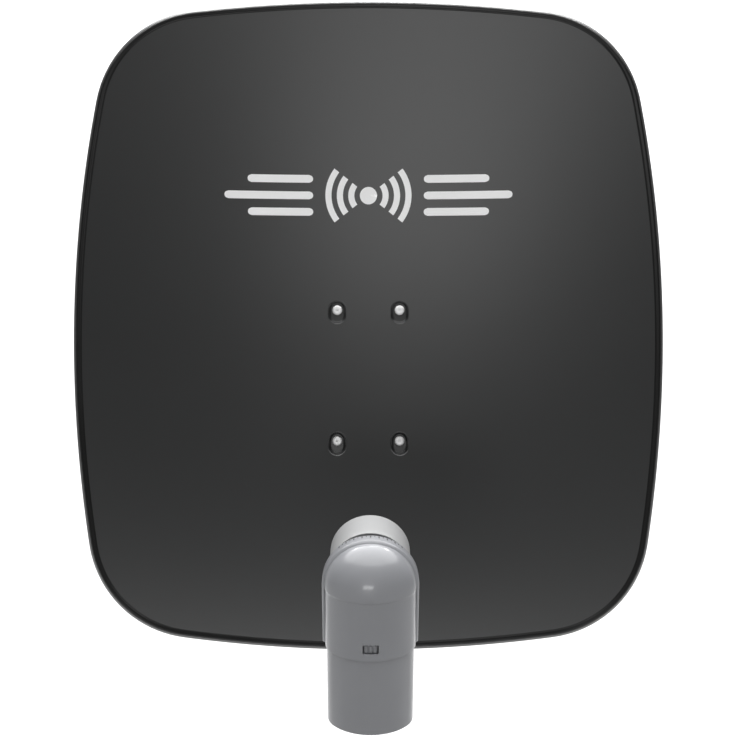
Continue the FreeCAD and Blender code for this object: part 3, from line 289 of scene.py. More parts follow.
def joined(shapes):
    points, faces, total = [], [], 0
    for spots, polygons in shapes:
        points.append(np.asarray(spots, float))
        faces += [tuple(i + total for i in polygon) for polygon in polygons]
        total += len(spots)
    return np.concatenate(points), faces


def grid_faces(rows, cols, closed=False):
    faces = []
    for i in range(rows - 1):
        for j in range(cols if closed else cols - 1):
            k = (j + 1) % cols
            faces.append((i * cols + j, i * cols + k, (i + 1) * cols + k, (i + 1) * cols + j))
    return faces


def stack(rings, segments=48):
    """Rings of radius and height, joined from first to last. Both may vary round the ring."""
    turn = np.arange(segments) * 2 * math.pi / segments
    rows = [np.stack([r * np.cos(turn), r * np.sin(turn), h + 0 * turn], axis=1) for r, h in rings]
    return np.concatenate(rows), grid_faces(len(rows), segments, closed=True)


def piece(name, shape, body, slot, replaces=(), material=None, sharp=35):
    """A piece from points in millimetres of the row frame, cleaned, shaded and tied to its body."""
    points, faces = shape
    mesh = bpy.data.meshes.new(name)
    mesh.from_pydata((np.asarray(points) * MM).tolist(), [], faces)
    work = bmesh.new()
    work.from_mesh(mesh)
    bmesh.ops.remove_doubles(work, verts=work.verts, dist=2e-6)
    bmesh.ops.dissolve_degenerate(work, edges=work.edges, dist=1e-6)
    bmesh.ops.recalc_face_normals(work, faces=work.faces)
    work.to_mesh(mesh)
    work.free()
    obj = bpy.data.objects.new(name, mesh)
    bpy.context.scene.collection.objects.link(obj)
    finish_piece(obj, body, slot, replaces, material, sharp)
    return obj


def finish_look(obj, sharp):
    """Smooth shading up to an angle in degrees."""
    obj.data.shade_smooth()
    obj.data.set_sharp_from_angle(angle=math.radians(sharp))


def finish_piece(obj, body, slot, replaces=(), material=None, sharp=35):
    finish_look(obj, sharp)
    obj.data.materials.clear()
    obj.data.materials.append(materials[material or slot])
    if replaces:
        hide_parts(*replaces)
    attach(obj, body)


def carve(obj, shape):
    """Cuts a closed shape out of a piece for good."""
    points, faces = shape
    mesh = bpy.data.meshes.new("cutter")
    mesh.from_pydata((np.asarray(points) * MM).tolist(), [], faces)
    work = bmesh.new()
    work.from_mesh(mesh)
    bmesh.ops.remove_doubles(work, verts=work.verts, dist=1e-6)
    bmesh.ops.recalc_face_normals(work, faces=work.faces)
    work.to_mesh(mesh)
    work.free()
    cutter = bpy.data.objects.new("cutter", mesh)
    bpy.context.scene.collection.objects.link(cutter)
    tool = obj.modifiers.new("carve", "BOOLEAN")
    tool.operation, tool.solver, tool.object = "DIFFERENCE", "EXACT", cutter
    graph = bpy.context.evaluated_depsgraph_get()
    result = bpy.data.meshes.new_from_object(obj.evaluated_get(graph))
    obj.modifiers.clear()
    old = obj.data
    obj.data = result
    result.name = obj.name
    bpy.data.meshes.remove(old)
    bpy.data.objects.remove(cutter)
    bpy.data.meshes.remove(mesh)


def slab(outline, low, high):
    """A prism over a plane outline, with closed ends."""
    count = len(outline)
    points = [(x, y, h) for h in (low, high) for x, y in outline]
    faces = [(i, (i + 1) % count, count + (i + 1) % count, count + i) for i in range(count)]
    return points, faces + [tuple(range(count - 1, -1, -1)), tuple(range(count, 2 * count))]


def soft_rectangle(half_x, half_y, radius, steps=5):
    """Corner-rounded rectangle about the origin."""
    spots = []
    for k, (sx, sy) in enumerate(((1, 1), (-1, 1), (-1, -1), (1, -1))):
        for i in range(steps + 1):
            turn = math.radians(90 * k + 90 * i / steps)
            spots.append((sx * (half_x - radius) + radius * math.cos(turn),
                          sy * (half_y - radius) + radius * math.sin(turn)))
    return spots


# ---------------------------------------------------------------- fasteners

HEX_SEGMENTS = 48


def hex_radius(key, segments=HEX_SEGMENTS):
    """Distance from the axis to a hexagon with this corner radius, round the circle."""
    turn = np.arange(segments) * 360.0 / segments
    return key * math.cos(math.radians(30)) / np.cos(np.radians(turn % 60 - 30))


def hexagon(key, low, high, bore=0.0):
    """Hexagon with both ends chamfered, solid or with a chamfered bore."""
    flat = key * math.cos(math.radians(30))
    corner = hex_radius(key)
    drop = (corner - 0.96 * flat) * math.tan(math.radians(30))
    lead = 0.5 if bore else 0.0
    rings = [(bore + lead, low), (0.96 * flat, low), (corner, low + drop), (corner, high - drop),
             (0.96 * flat, high), (bore + lead, high)]
    if bore:
        rings += [(bore, high - lead), (bore, low + lead), (bore + lead, low)]
    return stack(rings, HEX_SEGMENTS)


def thread(radius, low, high, pitch):
    """Helical thread from low to high with a chamfered end."""
    segments = 24
    turn = np.arange(segments) / segments
    depth = 0.61 * pitch
    rings = [(0.0, low)]
    heights = np.arange(low, high - depth, pitch / 5)
    for h in heights:
        phase = (h / pitch - turn) % 1.0
        rings.append((radius - depth * np.abs(2 * phase - 1), h))
    rings += [(radius - depth, high - 0.2 * depth), (radius - 1.3 * depth, high), (0.0, high)]
    return stack(rings, segments)


def shank(radius, low, high):
    return stack([(0.0, low), (radius, low), (radius, high), (0.0, high)], 32)


def hex_bolt(radius, key, head, length, pitch, threaded):
    """Seat at height 0, head below it, shank running up, thread at the free end."""
    return joined([hexagon(key, -head, 0.0), shank(radius, 0.0, length - threaded),
                   thread(radius, length - threaded, length, pitch)])


def socket_screw(radius, head_r, rise, length, pitch, key):
    """Button head with a hexagon socket, seat at height 0, head below it."""
    drive = hex_radius(key)
    dome = [(key * 1.18 + (head_r - key * 1.18) * math.sin(math.radians(a)) ** 0.7,
             -rise * math.cos(math.radians(a)) ** 0.6 * 0.92 - 0.08 * rise) for a in range(0, 81, 10)]
    rings = [(0.0, -rise + 0.62 * rise), (drive, -rise + 0.55 * rise), (drive, -rise + 0.1)]
    rings += dome + [(head_r, -0.35), (head_r - 0.12, 0.0), (radius, 0.0)]
    return joined([stack(rings, HEX_SEGMENTS), thread(radius, -0.1, length, pitch)])


def flat_washer(radius, bore, thick):
    edge = 0.18 * thick
    return stack([(bore, 0.0), (radius - edge, 0.0), (radius, edge), (radius, thick - edge),
                  (radius - edge, thick), (bore + edge, thick), (bore, thick - edge), (bore, 0.0)], 48)


def pattern(shape, spots, turn, place=WORLD):
    return joined(placed(shape, at, turn, place) for at in spots)


def mirrored_pairs(shape, at, place=WORLD):
    """The same piece on the +X side pointing inwards and on the -X side."""
    x, y, z = at
    return joined([placed(shape, (x, y, z), "-x", place), placed(shape, (-x, y, z), "+x", place)])


def both(values, other):
    return [(a, b) for a in values for b in other]


def make_fasteners():
    """Bolts, screws, nuts and washers at the seats of the CAD model."""
    floor_y, plate, disc = -156.0, 3.0, 1.6
    front = floor_y + 1.3
    seats = [(x, floor_y, z) for x, z in both((-33, 33), (-69.3, 69.3))]

    def behind(step):
        return [(x, floor_y + step, z) for x, _, z in seats]

    # The face screws take a lighter, less metallic copy of the zinc: painted highlight on their heads.
    piece("face_screws", pattern(socket_screw(3, 5.25, 3.3, 17, 1.0, 1.5), seats, "+y"), "dish",
          "zinc_steel", ("reflector_screws",), material="zinc_painted_highlight")
    piece("face_washers", pattern(flat_washer(6.2, 3.3, disc), behind(4.3), "+y"), "dish", "zinc_steel",
          ("reflector_washers",))
    piece("face_nuts", pattern(hexagon(5.77, 0, 5, 3), behind(4.3 + disc), "+y"), "dish", "zinc_steel",
          ("reflector_nuts",))
    web = -37.0 - plate
    heads = [(x, web, z) for x, z in both((-33, 33), (-40, 40))]
    piece("mast_bolts", pattern(hex_bolt(4, 7.5, 5.3, 98, 1.25, 62), heads, "+y"), "mast_mount",
          "zinc_steel", ("clamp_bolts",))
    for word, level in (("upper", 40), ("lower", -40)):
        jaw = [(x, 14.0, level) for x in (-33, 33)]
        piece(f"clamp_washers_{word}", pattern(flat_washer(8, 4.4, disc), jaw, "+y"), f"{word}_jaw",
              "zinc_steel", (f"jaw_washers_{word}",))
        on = [(x, y + disc, z) for x, y, z in jaw]
        piece(f"clamp_nuts_{word}", pattern(hexagon(7.5, 0, 6.5, 4.1), on, "+y"), f"{word}_jaw",
              "zinc_steel", (f"jaw_nuts_{word}",))
    pivot_y, yoke, tilt = -92.0, 48.0, 44.7
    piece("hinge_bolts", mirrored_pairs(hex_bolt(5, 9.2, 6.5, yoke + disc - 28, 1.5, 14),
                                        (yoke + disc, pivot_y, 0)), "mast_mount", "zinc_steel",
          ("pivot_bolts",))
    inside = tilt - plate - 0.3
    ring = flat_washer(10.2, 5, disc)
    piece("hinge_washers", joined([mirrored_pairs(ring, (yoke + disc, pivot_y, 0)),
                                   mirrored_pairs(ring, (inside, pivot_y, 0))]), "mast_mount",
          "zinc_steel", ("pivot_washers",))
    piece("hinge_nuts", mirrored_pairs(hexagon(9.2, 0, 8, 5), (inside - disc, pivot_y, 0)),
          "mast_mount", "zinc_steel", ("pivot_nuts",))
    outside = yoke + 0.3 + disc
    piece("lock_screws", mirrored_pairs(hex_bolt(4, 7.5, 5.3, outside - 30, 1.25, 12),
                                        (outside, pivot_y, -42)), "dish", "zinc_steel", ("lock_bolts",))
    piece("lock_discs", mirrored_pairs(flat_washer(8, 4, disc), (tilt - plate, pivot_y, -42)), "dish",
          "zinc_steel", ("lock_washers",))
    piece("lock_hexes", mirrored_pairs(hexagon(7.5, 0, 6.5, 4), (tilt - plate - disc, pivot_y, -42)),
          "dish", "zinc_steel", ("lock_nuts",))
    levels = (-48.0, -103.0)
    strut = [(0, front, z) for z in levels]
    piece("strut_screws", pattern(socket_screw(4, 8, 3, 20, 1.25, 2.9), strut, "+y"), "dish",
          "zinc_steel", ("strut_bolts",))
    seat = front + plate + 2.5
    piece("strut_discs", pattern(flat_washer(8, 4, disc), [(0, seat, z) for z in levels], "+y"), "dish",
          "zinc_steel", ("strut_washers",))
    piece("strut_hexes", pattern(hexagon(7.5, 0, 6.5, 4), [(0, seat + disc, z) for z in levels], "+y"),
          "dish", "zinc_steel", ("strut_nuts",))
    reaches = (74.0, 90.0)
    piece("arm_screws", pattern(hex_bolt(3, 5.77, 4, 44, 1.0, 18), [(17.5, y, 0) for y in reaches],
                                "-x", ARM), "dish", "zinc_steel", ("arm_bolts",))
    piece("arm_hexes", pattern(hexagon(5.77, 0, 5, 3), [(-17.5, y, 0) for y in reaches], "-x", ARM),
          "dish", "zinc_steel", ("arm_nuts",))
    ring_y, ear = -36.5, 7.0
    piece("holder_bolts", pattern(socket_screw(2, 3.8, 2.4, 18.5, 0.7, 1.6),
                                  [(x, ring_y, ear) for x in (-30, 30)], "-z", FEED), "feed_holder",
          "zinc_steel", ("holder_screws",))
    piece("holder_hexes", pattern(hexagon(4, 0, 3.2, 2), [(x, ring_y, -ear) for x in (-30, 30)], "-z",
                                  FEED), "feed_holder", "zinc_steel", ("holder_nuts",))
    piece("housing_screws", pattern(socket_screw(1.4, 2.8, 1.8, 18, 0.6, 1.2),
                                    [(x, -44, 20) for x in (-22, 22)], "-y", FEED), "feed_head",
          "zinc_steel", ("shell_screws",))


# ---------------------------------------------------------------- feed head

SHELL_HALF, SHELL_NOSE, SHELL_BEND, WIDEST = 34.8, 27.98, 22.0, -59.0
SHELL_LAP, SHELL_LOW, SHELL_WALL, CREASE = -50.0, -48.0, 1.2, 0.45
COVER_INSET, COVER_REAR, COVER_CORNER = 1.4, -47.0, 6.0
COVER_TOP, COVER_LOW, COVER_WALL = -43.0, -111.5, 1.6
BAND_R, BAND_FOOT, BAND_EDGE, BAND_WALL, CAP_FRONT, LIP = 36.9, 36.5, -54.0, 1.4, 7.0, 0.65


def plan_profile(steps=30):
    """Right half of the housing plan from the widest line to the nose, with its outward directions."""
    reach, rest = SHELL_HALF - SHELL_BEND, SHELL_NOSE - SHELL_BEND
    back = (reach ** 2 - rest ** 2) / (2 * rest)
    turn = math.atan2(back, reach)
    flank = np.linspace(0, turn, steps // 2)
    nose = np.linspace(turn, math.pi / 2, steps // 2 + 1)[1:]
    way = np.concatenate([flank, nose])
    out = np.stack([np.cos(way), -np.sin(way)], axis=1)
    out[-1, 0] = 0.0
    side = np.array([reach, WIDEST]) + SHELL_BEND * out[:len(flank)]
    front = np.array([0.0, WIDEST + back]) + (back + SHELL_NOSE) * out[len(flank):]
    return np.concatenate([side, front]), out


def smooth(k):
    k = np.clip(k, 0, 1)
    return k * k * (3 - 2 * k)


def dome_grid(inset, step):
    """Rows from the rear edge to the nose, each up one side, over the dome and down the other side."""
    edge, out = plan_profile()
    lap = np.array([SHELL_LAP, -52, -54, -54.5, -55, -55.5, -56, -56.5, -57, -58])
    edge = np.concatenate([np.stack([np.full(len(lap), SHELL_HALF), lap], axis=1), edge])
    out = np.concatenate([np.tile([1.0, 0.0], (len(lap), 1)), out])
    lip = SHELL_LOW + np.array([0, 0.15, 0.4, 0.8])
    heights = np.concatenate([lip, np.linspace(SHELL_LOW + 2, -4, 24), np.linspace(-3, 0, 9)])
    near = np.linspace(0.6, 8, 12)
    over = np.radians(np.concatenate([near, np.linspace(10, 170, 65), 180 - near[::-1]]))[::-1]
    rounding = 0.35 * np.clip(1 - (heights - SHELL_LOW) / 0.8, 0, 1) ** 2 if step else 0.0
    below = inset + step * smooth((0.6 - heights) / 1.6) + rounding
    rows = []
    for (r, y), (dr, dy) in zip(edge, out):
        r += LIP * smooth((y + 57.0) / 3.0) if step else 0.0
        rise = np.minimum(over, math.pi - over) * r
        above = inset + step * smooth((0.6 - rise) / 1.6)
        left = np.stack([-(r - below * dr), y - below * dy, heights], axis=1)
        reach = r - above * dr
        dome = np.stack([reach * np.cos(over), y - above * dy, reach * np.sin(over)], axis=1)
        rows.append(np.concatenate([left, dome, (left * (-1, 1, 1))[::-1]]))
    return np.array(rows)


def shell_between(outer, inner):
    """Closed wall between two grids of the same size."""
    rows, cols = outer.shape[:2]
    total = rows * cols
    points = np.concatenate([outer.reshape(-1, 3), inner.reshape(-1, 3)])
    faces = grid_faces(rows, cols)
    faces += [tuple(total + i for i in reversed(f)) for f in faces]
    for j in range(cols - 1):
        faces.append((j, total + j, total + j + 1, j + 1))
    for i in range(rows - 1):
        for j in (0, cols - 1):
            a, b = i * cols + j, (i + 1) * cols + j
            faces.append((a, b, total + b, total + a))
    return points, faces


def make_front_shell():
    outer = dome_grid(0.0, CREASE)
    inner = dome_grid(SHELL_WALL, 0.0)
    points, faces = shell_between(outer, inner)
    shell = piece("housing_front", (feed_points(points), faces), "feed_head", "housing_plastic",
                  ("front_shell",), sharp=40)
    window = slab([(x, z) for x, z in soft_rectangle(6, 3.75, 0.8)], -95.0, -80.0)
    spots = [(x, h, z - 38.0) for x, z, h in window[0]]
    carve(shell, (feed_points(spots), window[1]))
    finish_look(shell, 40)
    posts = [stack([(1.4, -45.6), (3.6, -45.6), (3.6, -61.0), (1.4, -61.0), (1.4, -45.6)], 24)]
    bosses = [(np.stack([p[:, 0] + x, p[:, 2], p[:, 1] + 20], axis=1), f) for x in (-22, 22)
              for p, f in posts]
    shape = joined(bosses)
    piece("housing_posts", (feed_points(shape[0]), shape[1]), "feed_head", "housing_plastic")


def cover_plan(inset):
    """Closed plan of the sliding cover, from the rear middle round the right side."""
    edge, out = plan_profile()
    deeper = inset - COVER_INSET
    half, rear, corner = SHELL_HALF - inset, COVER_REAR - deeper, COVER_CORNER - deeper
    spots = [(x, rear) for x in np.linspace(0, half - corner, 9)[:-1]]
    for k in range(9):
        turn = math.radians(90 - 90 * k / 8)
        spots.append((half - corner + corner * math.cos(turn), rear - corner + corner * math.sin(turn)))
    spots += [tuple(spot) for spot in edge - inset * out]
    return np.array(spots + [(-x, y) for x, y in reversed(spots[1:-1])])


def make_sliding_cover():
    levels = [COVER_TOP, COVER_TOP - 0.3, COVER_TOP - 0.8]
    levels += list(np.linspace(COVER_TOP - 4, COVER_LOW + 3, 24))
    levels += [COVER_LOW + 1.6, COVER_LOW + 0.9, COVER_LOW + 0.35, COVER_LOW]
    rows = []

    def ring(inset, z):
        taper = 1 - 0.012 * (COVER_TOP - z) / (COVER_TOP - COVER_LOW)
        plan = cover_plan(COVER_INSET + inset)
        return np.stack([plan[:, 0] * taper, WIDEST + (plan[:, 1] - WIDEST) * taper,
                         np.full(len(plan), z)], axis=1)

    for z in levels:
        end = min(COVER_TOP - z, z - COVER_LOW)
        rows.append(ring(0.55 * max(0.0, 1 - end / 0.9) ** 2, z))
    for z in reversed(levels):
        end = min(COVER_TOP - z, z - COVER_LOW)
        rows.append(ring(COVER_WALL - 0.4 * max(0.0, 1 - end / 0.9) ** 2, z))
    rows.append(rows[0])
    shape = np.concatenate(rows), grid_faces(len(rows), len(rows[0]), closed=True)
    cover = piece("cable_cover", (feed_points(shape[0]), shape[1]), "sliding_cover", "housing_plastic",
                  ("weather_cover",), sharp=40)
    notch = slab([(x, z) for x, z in soft_rectangle(24, 8, 1.5)], -50.5, -40.0)
    carve(cover, (feed_points([(x, h, z - 45.0) for x, z, h in notch[0]]), notch[1]))
    finish_look(cover, 40)


def make_horn_cap():
    """Lens-like cap with a soft shoulder, a shallow ring on its face and a rounded rear edge."""
    shoulder = [(28.4 + 3.1 * math.sin(math.radians(a)), -3.9 + 3.1 * math.cos(math.radians(a)))
                for a in range(0, 91, 9)]
    face = [(0.0, 1.2), (8, 1.12), (16, 0.86), (19.6, 0.66), (20, 0.4), (20.6, 0.36), (21, 0.5), (25, 0.05)]
    inside = [(29.9, -4.6), (27.7, -2.4), (19.5, -1), (0.0, -0.5)]
    edge = [(31.5, -12), (31.5, -20), (31.5, -29.3), (31.35, -29.75), (31, -30), (30.3, -30), (29.95, -29.8),
            (29.9, -29.3)]
    rings = [(r, h + CAP_FRONT) for r, h in face + shoulder] + edge + [(r, h + CAP_FRONT) for r, h in inside]
    piece("feed_cap", placed(stack(rings, 96), turn="+y", place=FEED), "feed_head", "cap_plastic",
          ("horn_cap",))


def make_band_bead():
    """Soft fillet that runs from the front edge of the rear shell down on to the dome."""
    middle, foot = BAND_R - BAND_WALL / 2, BAND_FOOT - BAND_WALL / 2
    up = [(foot + (middle - foot) * k / 12, SHELL_LOW + 0.4 - (SHELL_LOW + 0.4) * k / 12) for k in range(12)]
    arc = [(middle * math.cos(a), middle * math.sin(a)) for a in np.linspace(0, math.pi, 61)]
    line = up + arc + [(-x, z) for x, z in reversed(up)]
    fillet = [(0.7, -0.2), (0.7, 0.1), (0.6, 0.6), (0.3, 1.2), (-0.2, 1.8), (-0.8, 2.35), (-1.35, 2.8),
              (-1.35, 0.0)]
    rows = []
    for (x, z), before, after in zip(line, [line[0]] + line[:-1], line[1:] + [line[-1]]):
        way = np.array([after[0] - before[0], after[1] - before[1]])
        out = np.array([way[1], -way[0]]) / np.linalg.norm(way)
        ring = []
        for side, ahead in fillet:
            ring.append((x + side * out[0], BAND_EDGE - ahead, z + side * out[1]))
        rows.append(ring)
    points = np.array(rows).reshape(-1, 3)
    count = len(fillet)
    faces = grid_faces(len(rows), count, closed=True)
    faces += [tuple(range(count)), tuple(range(len(points) - 1, len(points) - count - 1, -1))]
    piece("shell_bead", (feed_points(points), faces), "feed_head", "housing_plastic", sharp=50)


def make_latch():
    """Spring latch behind the window, with three grip ribs on a slanted face."""
    back, face, top, low = -83.2, -84.7, -34.9, COVER_TOP + 0.2
    base = [((-5, back, low), (5, back, low), (5, back, top), (-5, back, top)),
            ((-5, face + 0.9, low), (5, face + 0.9, low), (5, face + 1.2, top), (-5, face + 1.2, top))]
    shapes = [(base[0] + base[1], BOX_FACES)]
    height, middle = 1.3, (top + low) / 2 + 0.2
    rib, rib_faces = slab(soft_rectangle(0.8, 2.9, 0.6), 0.0, height)
    for x in (-3.2, 0.0, 3.2):
        shapes.append((np.array([(x + a, face + height - h, middle + b) for a, b, h in rib]), rib_faces))
    points, faces = joined(shapes)
    piece("latch_tongue", (feed_points(points), faces), "sliding_cover", "housing_plastic", ("cover_latch",))


def make_skew_marks():
    """Short printed strokes round the rear edge of the housing, one every five degrees."""
    shapes = []
    for k in range(-8, 9):
        turn = math.radians(90 - 5 * k)
        wide = 0.28 if k % 2 else 0.4
        long = 1.6 if k % 2 else 2.8
        side = wide / BAND_R
        spots = []
        for y in (-47.2, -47.2 - long):
            for r in (BAND_R - 0.05, BAND_R + 0.08):
                for a in (turn - side, turn + side):
                    spots.append((r * math.cos(a), y, r * math.sin(a)))
        faces = [(0, 1, 3, 2), (4, 6, 7, 5), (0, 4, 5, 1), (2, 3, 7, 6), (0, 2, 6, 4), (1, 5, 7, 3)]
        shapes.append((spots, faces))
    points, faces = joined(shapes)
    piece("skew_marks", (feed_points(points), faces), "feed_head", "black_plastic")


def make_sockets():
    """Threaded F sockets with a hexagon at the foot, each with a white bored core."""
    shells, cores = [], []
    for k in (-1.5, -0.5, 0.5, 1.5):
        at = (k * 14.5, -58.0, -80.0)
        body = [shank(4, 0, 0.8), hexagon(6.35, 0.8, 3.5, 3.3), tube_thread(4.76, 3.3, 3.5, 15.0, 0.794)]
        shells.append(placed(joined(body), at, "-z", FEED))
        core = stack([(0.0, 0.2), (3.2, 0.2), (3.2, 13.2), (2.9, 13.7), (1.1, 13.9), (0.6, 13.4), (0.55, 5),
                      (0.0, 5)], 32)
        cores.append(placed(core, at, "-z", FEED))
    piece("cable_sockets", joined(shells), "feed_head", "socket_nickel", ("f_sockets",))
    piece("socket_insulators", joined(cores), "feed_head", "white_insulator", ("socket_cores",))


def tube_thread(radius, bore, low, high, pitch):
    """Bored tube with a helical thread outside and a chamfered end."""
    segments = 32
    turn = np.arange(segments) / segments
    depth = 0.6 * pitch
    rings = [(bore, low), (radius - depth, low)]
    for h in np.arange(low + 0.2, high - 0.5, pitch / 5):
        phase = (h / pitch - turn) % 1.0
        rings.append((radius - depth * np.abs(2 * phase - 1), h))
    rings += [(radius - depth, high - 0.15), (radius - depth - 0.2, high), (bore + 0.3, high),
              (bore, high - 0.3), (bore, low)]
    return stack(rings, segments)


# ---------------------------------------------------------------- marks on the dish and the scale plates

def conforming(rows, cols, spot):
    """A thin raised patch on the dished surface, over a grid that spot(i, j) lays out on the face."""
    rise, sink = 0.16, 0.05
    flat = np.array([[spot(i, j) for j in range(cols)] for i in range(rows)])
    u, v = flat[..., 0].ravel(), flat[..., 1].ravel()
    n = surface(u, v)
    top = np.stack([u, -(n + rise), v], axis=1) + FACE_ORIGIN
    low = np.stack([u, -(n - sink), v], axis=1) + FACE_ORIGIN
    total = rows * cols
    faces = grid_faces(rows, cols)
    faces += [tuple(total + i for i in reversed(f)) for f in faces]
    ring = [j for j in range(cols)] + [i * cols + cols - 1 for i in range(1, rows)]
    ring += [(rows - 1) * cols + j for j in range(cols - 2, -1, -1)]
    ring += [i * cols for i in range(rows - 2, 0, -1)]
    for a, b in zip(ring, ring[1:] + ring[:1]):
        faces.append((a, b, total + b, total + a))
    return np.concatenate([top, low]), faces


def make_face_mark():
    """A plain sign of a dot, three pairs of waves and three pairs of bars, with no letters."""
    level, dot_r, wave_half, bar_half = 137.0, 9.0, 3.2, 4.0
    waves, spread = (18.0, 30.0, 42.0), 38
    bars, bar_start = ((17.0, 126.0), (0.0, 150.0), (-17.0, 126.0)), 58.0
    shapes = []

    def disc(i, j):
        r = 0.02 + dot_r * i / 8
        turn = 2 * math.pi * j / 48
        return r * math.cos(turn), level + r * math.sin(turn)

    shapes.append(conforming(9, 49, disc))
    for side in (-1, 1):
        for radius in waves:
            def wave(i, j):
                turn = math.radians(-spread + 2 * spread * j / 32)
                r = radius - wave_half + 2 * wave_half * i / 4
                return side * r * math.cos(turn), level + r * math.sin(turn)
            shapes.append(conforming(5, 33, wave))
        for rise, end in bars:
            def bar(i, j):
                across = -1 + 2 * i / 8
                pull = bar_half * (1 - math.sqrt(max(0.0, 1 - across * across)))
                start = bar_start + pull
                along = start + (end - pull - start) * j / 24
                return side * along, level + rise + bar_half * across
            shapes.append(conforming(9, 25, bar))
    piece("face_mark", joined(shapes), "dish", "white_insulator", material="mark_paint")


def make_scale_marks():
    """Degree strokes and figures of the beam elevation on both scale plates."""
    level_angle = 24.2
    shapes = []
    for side in (-1, 1):
        for degree in range(15, 61):
            turn = math.radians(degree - level_angle)
            major = degree % 5 == 0
            inner, outer, wide = (26.0 if major else 27.8), 29.6, (0.22 if major else 0.12)
            ahead = np.array([0.0, -math.sin(turn), -math.cos(turn)])
            across = np.array([0.0, -math.cos(turn), math.sin(turn)])
            spots = []
            for x in (48.45, 48.56):
                for r, k in ((inner, -1), (inner, 1), (outer, 1), (outer, -1)):
                    spot = ahead * r + across * k * wide + np.array([side * x, -92.0, 0.0])
                    spots.append(spot)
            shapes.append((spots, BOX_FACES))
    piece("scale_strokes", joined(shapes), "mast_mount", "black_plastic")
    figures = []
    for side in (-1, 1):
        for degree in range(20, 61, 10):
            figures.append(figure(str(degree), side, math.radians(degree - level_angle)))
    piece("scale_figures", joined(figures), "mast_mount", "black_plastic")


def figure(text, side, turn):
    """Raised digits that stand on the scale, facing outwards."""
    curve = bpy.data.curves.new("figure", "FONT")
    curve.body, curve.size, curve.extrude = text, 3.6, 0.05
    curve.align_x, curve.align_y = "CENTER", "CENTER"
    holder = bpy.data.objects.new("figure", curve)
    bpy.context.scene.collection.objects.link(holder)
    graph = bpy.context.evaluated_depsgraph_get()
    mesh = bpy.data.meshes.new_from_object(holder.evaluated_get(graph))
    spots = np.array([tuple(v.co) for v in mesh.vertices])
    faces = [tuple(p.vertices) for p in mesh.polygons]
    bpy.data.objects.remove(holder)
    bpy.data.meshes.remove(mesh)
    ahead = np.array([0.0, -math.sin(turn), -math.cos(turn)])
    across = side * np.array([0.0, math.cos(turn), -math.sin(turn)])
    centre = ahead * 22.6 + np.array([side * 48.5, -92.0, 0.0])
    out = spots[:, :1] * across - spots[:, 1:2] * ahead + spots[:, 2:] * np.array([side, 0.0, 0.0]) + centre
    return out, faces


# ---------------------------------------------------------------- materials

def painted(name, base, roughness, metallic=0.0, scale=900.0, bump=0.15, spread=0.12, patch=12.0,
            coat=0.0, gloss=0.2, stretch=(1, 1, 1), edge=0.0, dust=0.0, shine=0.5):
    """Cloudy colour, surface grain and uneven roughness, with edge wear and dust where asked for."""
    grain_depth, wear_radius = 0.0003, 0.0006
    dust_colour, worn_colour = (0.34, 0.32, 0.29, 1), (0.30, 0.30, 0.30, 1)
    mat = bpy.data.materials.new(name)
    mat.use_nodes = True
    tree = mat.node_tree
    tree.nodes.clear()
    new, link = tree.nodes.new, tree.links.new
    out, shader = new("ShaderNodeOutputMaterial"), new("ShaderNodeBsdfPrincipled")
    shader.inputs["Metallic"].default_value = metallic
    shader.inputs["Specular IOR Level"].default_value = shine
    shader.inputs["Coat Weight"].default_value = coat
    shader.inputs["Coat Roughness"].default_value = gloss
    link(shader.outputs[0], out.inputs[0])
    coord, shape = new("ShaderNodeTexCoord"), new("ShaderNodeMapping")
    shape.inputs["Scale"].default_value = stretch
    link(coord.outputs["Object"], shape.inputs["Vector"])

    def noise(size, detail):
        node = new("ShaderNodeTexNoise")
        node.inputs["Scale"].default_value = size
        node.inputs["Detail"].default_value = detail
        link(shape.outputs[0], node.inputs["Vector"])
        return node.outputs["Fac"]

    def ramp(source, low, high, dark, light):
        node = new("ShaderNodeValToRGB")
        node.color_ramp.elements[0].position, node.color_ramp.elements[1].position = low, high
        node.color_ramp.elements[0].color, node.color_ramp.elements[1].color = dark, light
        link(source, node.inputs["Fac"])
        return node.outputs["Color"]

    def mix(factor, first, second_colour):
        node = new("ShaderNodeMix")
        node.data_type = "RGBA"
        link(factor, node.inputs[0])
        link(first, node.inputs[6])
        node.inputs[7].default_value = second_colour
        return node.outputs[2]

    dark = [c * (1 - spread) for c in base] + [1]
    light = [min(c * (1 + spread), 1) for c in base] + [1]
    colour = ramp(noise(patch, 4.0), 0.3, 0.7, dark, light)
    if dust:
        settled = ramp(noise(patch * 3, 8.0), 0.52, 0.8, (0, 0, 0, 1), (dust, dust, dust, 1))
        colour = mix(settled, colour, dust_colour)
    if edge:
        bevel, geometry = new("ShaderNodeBevel"), new("ShaderNodeNewGeometry")
        product = new("ShaderNodeVectorMath")
        bevel.samples = 4
        bevel.inputs["Radius"].default_value = wear_radius
        product.operation = "DOT_PRODUCT"
        link(bevel.outputs[0], product.inputs[0])
        link(geometry.outputs["Normal"], product.inputs[1])
        worn = ramp(product.outputs["Value"], 0.82, 0.995, (edge, edge, edge, 1), (0, 0, 0, 1))
        colour = mix(worn, colour, worn_colour)
    link(colour, shader.inputs["Base Color"])
    grain = noise(scale, 2.0)
    rough = new("ShaderNodeMapRange")
    rough.inputs["To Min"].default_value = max(roughness - 0.06, 0.02)
    rough.inputs["To Max"].default_value = min(roughness + 0.06, 1.0)
    link(grain, rough.inputs["Value"])
    link(rough.outputs[0], shader.inputs["Roughness"])
    relief = new("ShaderNodeBump")
    relief.inputs["Strength"].default_value = bump
    relief.inputs["Distance"].default_value = grain_depth
    link(grain, relief.inputs["Height"])
    link(relief.outputs[0], shader.inputs["Normal"])
    return mat


